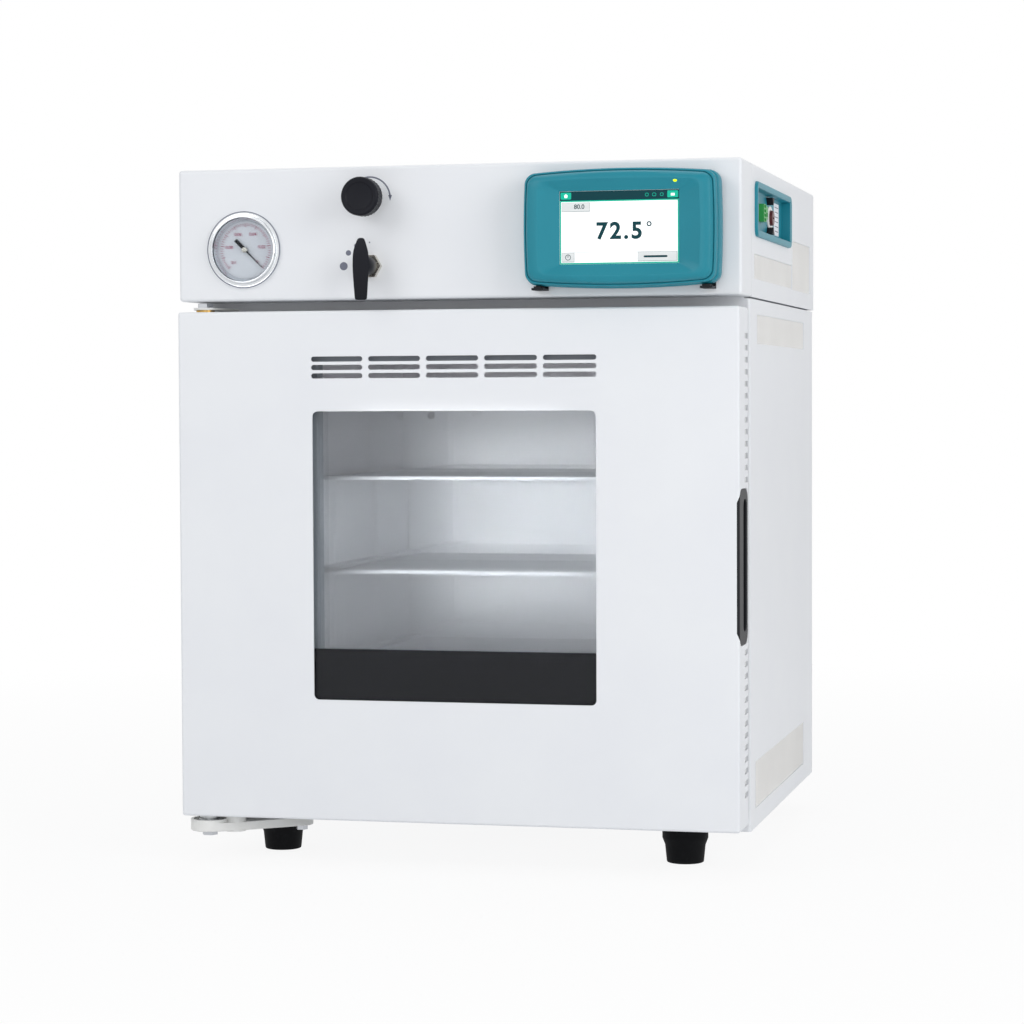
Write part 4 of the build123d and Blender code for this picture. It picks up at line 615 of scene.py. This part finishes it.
def ringed(rings, corner):
    # bowed face drawn up ring by ring, each given as width, height and reach; stays in edit mode
    width, height, reach = rings[0]
    piece = sheet(width, height, corner, 8)
    pick(piece, lambda middle, along: max(abs(along.x), abs(along.y)) > 0.999, "EDGE")
    bpy.ops.mesh.subdivide(number_cuts=11)
    bpy.ops.object.mode_set(mode="OBJECT")
    bowOut(piece, width, height, *controller["bow"])
    editAll(piece)
    bpy.ops.transform.translate(value=(0, 0, reach / 1000))
    for nextWidth, nextHeight, nextReach in rings[1:]:
        raised(nextReach - reach)
        bpy.ops.transform.resize(value=(nextWidth / width, nextHeight / height, 1), center_override=(0, 0, 0))
        width, height, reach = nextWidth, nextHeight, nextReach
    return piece


def makeFascia():
    loops = controller["loops"]
    piece = ringed([(*controller["size"], controller["fasciaBack"]), *loops], controller["corner"])
    bpy.ops.mesh.delete(type="FACE")
    bpy.ops.object.mode_set(mode="OBJECT")
    mesh = piece.data
    for width, height, reach in loops[-3:]:
        ring = [p for p in mesh.vertices if abs(p.co.z - reach / 1000) < 0.00004]
        squared(ring, width, height)
    for width, height, reach in loops[-7:-3]:  # the crest keeps nearly straight sides
        ring = [p for p in mesh.vertices if abs(p.co.z - reach / 1000) < 0.00002]
        for point in ring:
            if abs(point.co.y) / (height / 2000) > controller["crestFrom"]:
                point.co.y *= 1 + controller["crestSwell"] * (abs(point.co.x) / (width / 2000)) ** 2
    editAll(piece)
    evened()
    crease = piece.modifiers.new("mouldRadius", "BEVEL")
    crease.width = 0.0009
    crease.segments = 3
    crease.limit_method = "ANGLE"
    crease.angle_limit = radians(24)
    facingFront(piece, controller["x"], 0, controller["z"])
    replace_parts(settle(piece, "controllerFascia", root, tealAbs, 40), "display_fascia")


def makeHousing():
    piece = ringed(controller["rings"], controller["housingCorner"])
    evened()
    facingFront(piece, controller["x"], 0, controller["z"])
    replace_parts(settle(piece, "controllerHousing", root, tealAbs, 40), "display_housing")


makeFascia()
makeHousing()

led = nodes["status_led"]
ledMiddle = sum((led.matrix_world @ Vector(corner) for corner in led.bound_box), Vector()) / 8 * 1000
lens = turned(controller["lens"], 24)
facingFront(lens, ledMiddle.x, -controller["lensReach"], ledMiddle.z)
settle(lens, "statusLens", root, ledGlow)

# What the screen shows: plain fields, lines and figures, each a film on the display

screen = {
    "left": controller["x"] - controller["screen"][0] / 2,
    "top": controller["z"] + controller["screen"][1] / 2,
    "depth": -29.5,
    "film": 0.08,
}


def onScreen(piece, x, y, films):
    # stands a piece on the display, placed from its upper left corner and raised by so many films
    return facingFront(piece, screen["left"] + x, screen["depth"] - screen["film"] * films, screen["top"] - y)


def film(first, last, high, low, corner, name, material, rise=1):
    # rectangle of the display by its edges in millimetres from the screen's upper left corner
    piece = plate(last - first, low - high, screen["film"], corner, 3)
    onScreen(piece, (first + last) / 2, (high + low) / 2, rise - 1)
    return settle(piece, name, root, material)


film(0.1, 107.9, 0.1, 64.7, 0, "screenBorder", screenGreen)
film(0.1, 107.9, 0.1, 8.3, 0, "screenHeader", screenDark, 2)
film(1.3, 106.7, 9.4, 63.5, 0, "screenField", screenWhite, 2)
film(0.9, 10.5, 1.0, 7.1, 0.8, "buttonLeft", screenGreen, 3)
film(97.4, 107.2, 1.0, 7.1, 0.8, "buttonRight", screenGreen, 3)
film(1.9, 27.6, 9.9, 18.3, 0.4, "valueBoxEdge", screenLine, 3)
film(2.1, 27.2, 10.0, 17.8, 0.4, "valueBox", screenPale, 4)
film(27.6, 106.2, 17.5, 17.8, 0, "upperLine", screenLine, 3)
film(1.9, 106.2, 54.2, 54.5, 0, "lowerLine", screenLine, 3)
film(1.9, 13.4, 54.6, 63.0, 0.4, "timerButtonEdge", screenLine, 4)
film(2.1, 13.0, 54.7, 62.5, 0.4, "timerButton", screenPale, 5)
film(70.6, 106.3, 54.6, 63.0, 0.4, "startButtonEdge", screenLine, 4)
film(70.9, 105.9, 54.7, 62.5, 0.4, "startButton", screenPale, 5)
film(76.0, 97.5, 57.8, 59.6, 0.9, "startBar", screenDark, 6)


def figures(words, size, x, y, name, material, rise, bold, spaced=1.0):
    piece = lettered(
        words,
        size,
        screen["left"] + x,
        screen["depth"] - screen["film"] * (rise - 1),
        screen["top"] - y,
        screen["film"],
        bold,
        spaced,
    )
    return settle(piece, name, root, material)


figures("72.5", 20.5, 54.0, 36.2, "screenFigures", screenDark, 3, 0.62, 1.22)
figures("°", 16.0, 81.0, 34.6, "degreeMark", screenDark, 3, 0.12)
figures("80.0", 5.6, 17.8, 13.9, "valueFigures", screenDark, 5, 0.06)


symbols = {  # places on the display, sizes, and how many films each stands out
    "coil": {
        "x": 99.3,
        "y": 29.5,
        "step": 2.1,
        "count": 5,
        "ring": (2.1, 0.22, 24, (1.25, 0.42, 0.3)),
        "rise": 2,
    },
    "clock": {"x": 7.5, "y": 58.6, "ring": (2.3, 0.26, 28, (1, 1, 0.3)), "rise": 5.25},
    "hand": {"x": 7.5, "y": 57.8, "size": (0.5, 1.9), "rise": 5},
    "house": {"x": 5.7, "y": 4.7, "size": (2.6, 2.0), "corner": 0.2, "rise": 3},
    "roof": {"x": 5.7, "y": 3.9, "size": (2.4, 2.4), "rise": 3},
    "lock": {"x": 102.3, "y": 4.4, "size": (3.4, 2.2), "corner": 0.3, "rise": 3},
    "status": {
        "places": (79.0, 85.6, 92.4),
        "widths": (3.2, 3.6, 3.0),
        "y": 4.2,
        "height": 3.0,
        "corner": 1.2,
        "rise": 2,
    },
}


def symbol(key):
    # flat piece of a symbol, not yet stood on the display
    row = symbols[key]
    return plate(*row["size"], screen["film"], row.get("corner", 0.0))


def placed(piece, key):
    row = symbols[key]
    return onScreen(piece, row["x"], row["y"], row["rise"])


def makeSymbols():
    coil = symbols["coil"]
    loops = []
    for i in range(coil["count"]):
        loops.append(onScreen(hoop(*coil["ring"]), coil["x"], coil["y"] + i * coil["step"], coil["rise"]))
    settle(joined(loops), "coilSymbol", root, screenLine)
    clock = placed(hoop(*symbols["clock"]["ring"]), "clock")
    hand = placed(symbol("hand"), "hand")
    settle(joined([clock, hand]), "timerSymbol", root, screenDark)
    house = placed(symbol("house"), "house")
    roof = symbol("roof")
    roof.rotation_euler = (0, 0, pi / 4)
    bpy.ops.object.transform_apply(location=False, rotation=True, scale=False)
    placed(roof, "roof")
    lock = placed(symbol("lock"), "lock")
    settle(joined([house, roof, lock]), "headerSymbols", root, screenWhite)
    status = symbols["status"]
    marks = []
    for x, width in zip(status["places"], status["widths"]):
        mark = plate(width, status["height"], screen["film"], status["corner"])
        pick(mark, lambda middle, normal: abs(normal.z) > 0.9)
        bpy.ops.mesh.inset(thickness=0.0004)
        bpy.ops.mesh.delete(type="FACE")
        bpy.ops.object.mode_set(mode="OBJECT")
        marks.append(onScreen(mark, x, status["y"], status["rise"]))
    settle(joined(marks), "statusSymbols", root, screenGreen)


makeSymbols()
print("controller made")


# Vacuum gauge: scale and numbers on the dial, flange with a grey ring over its outer edge as a painted
# reflection, rolled bezel, cone and pointer collar

gauge = {
    "x": -200.6,
    "z": 571.4,
    "dialDepth": 3.2,
    "zero": 135,
    "sweep": 270,
    "divisions": 50,
    "tickOuter": 24.6,
    "major": (0.6, 3.4),
    "minor": (0.42, 2.4),
    "numbers": ["0", "0.02", "0.04", "0.06", "0.08", "0.1"],
    "numberRadius": 16.2,
    "numberSize": 4.1,
    "numberBold": 0.03,
    "film": 0.1,
    "flange": [(30.9, 0), (35.5, 0), (35.5, 1.9), (35.0, 2.58), (34.2, 2.58), (33.9, 2.52), (33.3, 2.52)]
    + [(33.0, 2.58), (30.9, 2.58), (30.9, 0)],
    "bezel": [(29.6, 4.6), (29.5, 5.6), (29.8, 6.1), (30.4, 6.2), (31.0, 6.1), (31.6, 5.6), (31.85, 4.8)]
    + [(31.85, 2.5), (30.6, 2.5), (30.6, 4.5), (29.6, 4.5), (29.6, 4.6)],
    # grey ring laid over the flange's outer edge: a painted reflection of the dark that the chrome mirrors
    # there
    "ring": [(34.6, 2.5), (35.5, 2.2), (35.5, 2.66), (34.6, 2.66), (34.6, 2.5)],
    "cone": [(29.4, 2.3), (26.7, -2.7), (26.7, -3.1), (29.4, -3.1), (29.4, 2.3)],
    "collar": [(2.6, 0), (2.6, 1.2), (2.1, 1.7), (0.6, 1.8)],
    "collarDepth": 0.2,
}


def makeScale():
    ticks = []
    for i in range(gauge["divisions"] + 1):
        width, length = gauge["major"] if i % 5 == 0 else gauge["minor"]
        tick = plate(width, length, gauge["film"])
        tick.location = (0, (gauge["tickOuter"] - length / 2) / 1000, 0)
        bpy.ops.object.transform_apply(location=True, rotation=False, scale=False)
        angle = gauge["zero"] - i * gauge["sweep"] / gauge["divisions"]
        tick.rotation_euler = (0, 0, -radians(angle))
        bpy.ops.object.transform_apply(location=False, rotation=True, scale=False)
        facingFront(tick, gauge["x"], gauge["dialDepth"], gauge["z"])
        ticks.append(tick)
    settle(joined(ticks), "dialScale", root, dialInk)
    words = []
    for i, number in enumerate(gauge["numbers"]):
        angle = radians(gauge["zero"] - i * gauge["sweep"] / (len(gauge["numbers"]) - 1))
        x = gauge["x"] + gauge["numberRadius"] * sin(angle)
        z = gauge["z"] + gauge["numberRadius"] * cos(angle)
        word = lettered(
            number, gauge["numberSize"], x, gauge["dialDepth"], z, gauge["film"], gauge["numberBold"]
        )
        words.append(word)
    settle(joined(words), "dialNumbers", root, dialInk)


def makeGaugeRim():
    # polished flange with a groove, rolled bezel that holds the glass, and the cone behind the glass
    flange = turned(gauge["flange"], 96, True)
    facingFront(flange, gauge["x"], 0, gauge["z"])
    settle(flange, "gaugeFlange", root, chromePlate, 40)
    bezel = turned(gauge["bezel"], 96, True)
    facingFront(bezel, gauge["x"], 0, gauge["z"])
    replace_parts(settle(bezel, "gaugeBezel", root, chromePlate, 40), "gauge_bezel")
    # the grey ring is a painted reflection on the flange's outer edge, printed in grey ink
    ring = turned(gauge["ring"], 96, True)
    facingFront(ring, gauge["x"], 0, gauge["z"])
    settle(ring, "gaugeEdgePaintedReflection", root, panelInk)
    cone = turned(gauge["cone"], 96, True)
    facingFront(cone, gauge["x"], 0, gauge["z"])
    settle(cone, "gaugeCone", root, chromePlate, 40)
    collar = turned(gauge["collar"], 32)
    facingFront(collar, gauge["x"], gauge["collarDepth"], gauge["z"])
    settle(collar, "pointerCollar", "gauge_pointer", nickelBrass)


makeScale()
makeGaugeRim()
print("gauge made")


# Valves: ribbed vent knob, wing lever, and the marks printed round them

valves = {
    "x": -79.3,
    "ventZ": 616.3,
    "vacuumZ": 554.3,
    "knob": [(16.4, 17.0), (17.3, 17.8), (17.7, 18.4), (17.7, 29.6), (17.7, 31.4), (17.1, 32.8), (16.0, 33.5)]
    + [(13.0, 33.3), (12.2, 32.6), (8.0, 32.2), (0.5, 32.1)],
    "knobRibs": 36,
    "ribbed": (17.2, 18.0, 30.0),  # the side outside this radius and between these heights
    "ribRoot": 0.955,
    "leverBack": 25.0,
    "lever": [  # place along it, half width and front
        (-28.0, 5.2, 33.4),
        (-26.5, 6.1, 34.4),
        (-20.0, 6.5, 34.9),
        (-10.0, 7.2, 34.9),
        (0.0, 7.9, 34.8),
        (8.0, 7.6, 34.4),
        (14.0, 5.4, 33.6),
        (18.5, 3.9, 32.4),
        (20.8, 2.8, 31.2),
    ],
    "hub": [(8.4, 8.2), (9.0, 9.0), (9.0, 20.0), (8.4, 24.0), (7.0, 27.5), (6.6, 28.0)],
    "film": 0.12,
    "arcRadius": 19.6,
    "arcWidth": 1.4,
    "arc": (-28, 84),
    "tip": {"radius": 2.8, "scale": (0.72, 1.25, 1), "ahead": 3},
    "dots": [  # place round the lever's axis and size
        (-25.2, 0.5, 7.5),
        (-20.6, 12.6, 5.0),
        (-13.3, 19.2, 3.6),
        (-6.1, 21.9, 2.1),
        (-0.3, 21.9, 1.3),
    ],
}


def makeKnob():
    # of each four points round its side, two are drawn in, which leaves a rib between grooves
    piece = turned(valves["knob"], valves["knobRibs"] * 4)
    step = 2 * pi / (valves["knobRibs"] * 4)
    radius, low, high = (value / 1000 for value in valves["ribbed"])
    for point in piece.data.vertices:
        onSide = point.co.xy.length > radius and low < point.co.z < high
        around = round(Vector((1, 0)).angle_signed(point.co.xy, 0) / step) % 4
        if onSide and around in (0, 1):
            point.co.x *= valves["ribRoot"]
            point.co.y *= valves["ribRoot"]
    facingFront(piece, valves["x"], 0, valves["ventZ"])
    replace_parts(settle(piece, "ventKnob", "vent_knob", blackGloss, 30), "vent_knob")


def makeLever():
    # wing drawn from an upright plane by its stations, so it is a thin sheet across the front, with a hub
    back = valves["leverBack"]
    unpick()
    bpy.ops.mesh.primitive_plane_add(size=1, location=(0, 0, 0))
    piece = bpy.context.object
    low, half, front = valves["lever"][0]
    piece.scale = (2 * half / 1000, (front - back) / 1000, 1)
    piece.rotation_euler = (pi / 2, 0, 0)
    piece.location = Vector((0, -(front + back) / 2, low)) / 1000
    bpy.ops.object.transform_apply(location=True, rotation=True, scale=True)
    editAll(piece)
    for nextLow, nextHalf, nextFront in valves["lever"][1:]:
        raised(nextLow - low)
        grow = (nextFront - back) / (front - back)
        bpy.ops.transform.resize(value=(nextHalf / half, grow, 1), center_override=(0, -back / 1000, 0))
        low, half, front = nextLow, nextHalf, nextFront
    evened()
    softened(piece, 1.6, 3, 40)
    smooth = piece.modifiers.new("handWorn", "SUBSURF")
    smooth.levels = 2
    smooth.render_levels = 2
    piece.location = at(valves["x"], 0, valves["vacuumZ"])
    for modifier in list(piece.modifiers):
        bpy.context.view_layer.objects.active = piece
        bpy.ops.object.modifier_apply(modifier=modifier.name)
    hub = turned(valves["hub"], 48)
    facingFront(hub, valves["x"], 0, valves["vacuumZ"])
    unpick()
    hub.select_set(True)
    piece.select_set(True)
    bpy.context.view_layer.objects.active = piece
    bpy.ops.object.transform_apply(location=True, rotation=True, scale=True)
    whole = joined([piece, hub])
    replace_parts(settle(whole, "vacuumLever", "vacuum_lever", blackGloss, 40), "vacuum_lever")


def makeValveMarks():
    # dots beside the lever, and an arc with its tip round the knob
    marks = []
    for x, z, size in valves["dots"]:
        dot = disc(size / 2, 32)
        editAll(dot)
        raised(valves["film"])
        bpy.ops.object.mode_set(mode="OBJECT")
        facingFront(dot, valves["x"] + x, 0, valves["vacuumZ"] + z)
        marks.append(dot)
    start, end = valves["arc"]
    unpick()
    bpy.ops.mesh.primitive_plane_add(size=1, location=(0, 0, 0))
    arc = bpy.context.object
    arc.scale = (valves["arcWidth"] / 1000, valves["film"] / 1000, 1)
    arc.rotation_euler = (pi / 2, 0, 0)
    arc.location = (valves["arcRadius"] / 1000, 0, valves["film"] / 2000)
    bpy.ops.object.transform_apply(location=True, rotation=True, scale=True)
    arc.rotation_euler = (0, 0, radians(90 - end))
    bpy.ops.object.transform_apply(location=True, rotation=True, scale=True)
    editAll(arc)
    bpy.ops.mesh.spin(steps=24, angle=radians(start - end), center=(0, 0, 0), axis=(0, 0, 1))
    bpy.ops.mesh.select_all(action="SELECT")
    bpy.ops.mesh.remove_doubles(threshold=0.00001)
    evened()
    facingFront(arc, valves["x"], 0, valves["ventZ"])
    marks.append(arc)
    tip = disc(valves["tip"]["radius"], 3)
    editAll(tip)
    raised(valves["film"])
    bpy.ops.object.mode_set(mode="OBJECT")
    tip.rotation_euler = (0, 0, pi)
    tip.scale = valves["tip"]["scale"]
    bpy.ops.object.transform_apply(location=False, rotation=True, scale=True)
    angle = radians(end + valves["tip"]["ahead"])
    facingFront(
        tip,
        valves["x"] + valves["arcRadius"] * sin(angle),
        0,
        valves["ventZ"] + valves["arcRadius"] * cos(angle),
    )
    marks.append(tip)
    settle(joined(marks), "valveMarks", root, panelInk)


makeKnob()
makeLever()
makeValveMarks()
print("valves made")


# Window: the dark band printed across the foot of the outer glass

window = {"half": 133.4, "low": 155.1, "top": 202.0, "lap": 12.0, "bandDepth": -2.38, "film": 0.1}
width = 2 * (window["half"] + window["lap"])
height = window["top"] - window["low"] + window["lap"]
band = plate(width, height, window["film"], 1.0)
facingFront(band, 0, window["bandDepth"], window["top"] - height / 2)
settle(band, "windowBand", "door", bandInk)
print("window made")


# Side port: moulded rim round a pocket, with a label of plain lines and black triangles beside the limiter,
# painted shade of the notches there

port = {
    "first": 75.0,
    "last": 299.0,
    "low": 580.0,
    "high": 630.5,
    "face": 265.0,
    "rim": 268.0,
    "floor": 259.0,
    "rimWidth": 6.0,
    "corner": 8.0,
    "wall": (6.0, 8.6),  # width and reach of the wall behind the pocket
    "wallIn": 2.2,
    "play": 0.2,
    "label": (30.0, 31.0, 0.4),  # width, height and thickness
    "labelDepth": 250.0,
    "line": (22.0, 0.7, 0.1),  # width, height and thickness
    "topLine": 617.0,
    "linePitch": 4.6,
    # black triangles at the pocket's rims: painted shade standing for notches
    "rib": {"radius": 6.0, "scale": (1.3, 0.75, 1), "reach": 6.2, "depth": 192.0, "inset": 10.2},
}


def facingRight(piece, x, depth, height):
    # turns a piece modelled about Z so that its Z comes out of the right side
    piece.rotation_euler = (pi / 2, 0, pi / 2)
    piece.location = at(x, depth, height)
    return piece


def makePort():
    length, height = port["last"] - port["first"], port["high"] - port["low"]
    piece = sheet(length, height, port["corner"], 6)
    editAll(piece)
    raised(port["rim"] - port["face"])
    bpy.ops.mesh.inset(thickness=port["rimWidth"] / 1000)
    raised(port["floor"] - port["rim"])
    pick(piece, lambda middle, normal: abs(middle.z) < 0.0002 and abs(normal.z) > 0.9)
    bpy.ops.mesh.delete(type="FACE")
    evened()
    softened(piece, 1.4, 4, 40)
    facingRight(piece, port["face"], (port["first"] + port["last"]) / 2, (port["low"] + port["high"]) / 2)
    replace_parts(settle(piece, "portHousing", root, tealAbs, 40), "port_housing")


def makePortFittings():
    middle = (port["low"] + port["high"]) / 2
    thick, reach = port["wall"]
    wall = plate(thick, port["high"] - port["low"] - 2 * port["rimWidth"] - port["play"], reach, 0.4)
    facingRight(wall, port["floor"], port["last"] - port["rimWidth"] - port["wallIn"], middle)
    settle(wall, "portRearWall", root, tealAbs)
    label = plate(*port["label"], 1.0)
    facingRight(label, port["floor"], port["labelDepth"], middle)
    settle(label, "portLabel", root, dialCard)
    lines = []
    for i in range(6):
        line = plate(*port["line"])
        height = port["topLine"] - i * port["linePitch"]
        facingRight(line, port["floor"] + port["label"][2], port["labelDepth"], height)
        lines.append(line)
    settle(joined(lines), "portLabelLines", root, panelInk)
    # black triangular prisms, painted shade where the notches are
    row = port["rib"]
    ribs = []
    for height, angle in ((port["high"] - row["inset"], pi), (port["low"] + row["inset"], 2 * pi)):
        rib = disc(row["radius"], 3)
        rib.rotation_euler = (0, 0, angle)
        rib.scale = row["scale"]
        bpy.ops.object.transform_apply(location=False, rotation=True, scale=True)
        editAll(rib)
        raised(row["reach"])
        evened()
        facingRight(rib, port["floor"], row["depth"], height)
        ribs.append(rib)
    settle(joined(ribs), "portNotchShade", root, blackAbs)


makePort()
makePortFittings()
print("side port made")


# Louvres: ribs standing beside each slot of the inserts

louvres = {
    "pitch": 14.5,
    "rib": (1.1, 1.0),
    "spread": 3.7,
    "margin": 5.0,  # kept free at the ends of a field
    "short": 1.0,  # how much shorter a rib is than its field is high
    "inset": 1.5,  # how far a rib's root is inside the panel
    "fields": [  # panel half width, front, rear, low, high
        (264, 84, 411, 52.5, 96),
        (264, 96, 412, 482, 509),
        (265, 72, 318, 541, 564),
        (265, 322, 452, 540, 589),
    ],
}


def makeLouvres():
    for side, name in ((1, "louvreRibsRight"), (-1, "louvreRibsLeft")):
        ribs = []
        for half, first, last, low, high in louvres["fields"]:
            count = int((last - first - louvres["margin"]) // louvres["pitch"]) + 1
            for i in range(count):
                slotPlace = (first + last) / 2 + (i - (count - 1) / 2) * louvres["pitch"]
                for shift in (-louvres["spread"], louvres["spread"]):
                    rib = plate(louvres["rib"][0], high - low - louvres["short"], louvres["rib"][1])
                    rib.rotation_euler = (pi / 2, 0, side * pi / 2)
                    rib.location = at(side * (half - louvres["inset"]), slotPlace + shift, (low + high) / 2)
                    ribs.append(rib)
        settle(joined(ribs), name, root, grilleSheet)


makeLouvres()
print("louvres made")


# Feet: turned in rubber with soft edges, one under each corner

feet = {
    "x": 197.0,
    "depths": (90.0, 445.0),
    "profile": [(8.0, 0.0), (16.4, 0.0), (17.1, 0.4), (17.4, 1.3), (18.9, 16.2), (19.3, 17.4), (21.2, 22.2)]
    + [(21.5, 23.0), (21.5, 35.0), (1.0, 35.0), (1.0, 6.0), (8.0, 6.0), (8.0, 0.0)],
}


def makeFeet():
    pieces = []
    for x in (-feet["x"], feet["x"]):
        for depth in feet["depths"]:
            foot = turned(feet["profile"], 56, True)
            foot.location = at(x, depth, 0)
            pieces.append(foot)
    unpick()
    for foot in pieces:
        foot.select_set(True)
    bpy.context.view_layer.objects.active = pieces[0]
    bpy.ops.object.transform_apply(location=True, rotation=True, scale=True)
    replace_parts(settle(joined(pieces), "rubberFeet", root, footRubber, 40), "feet")


makeFeet()
print("feet made")

unpick()
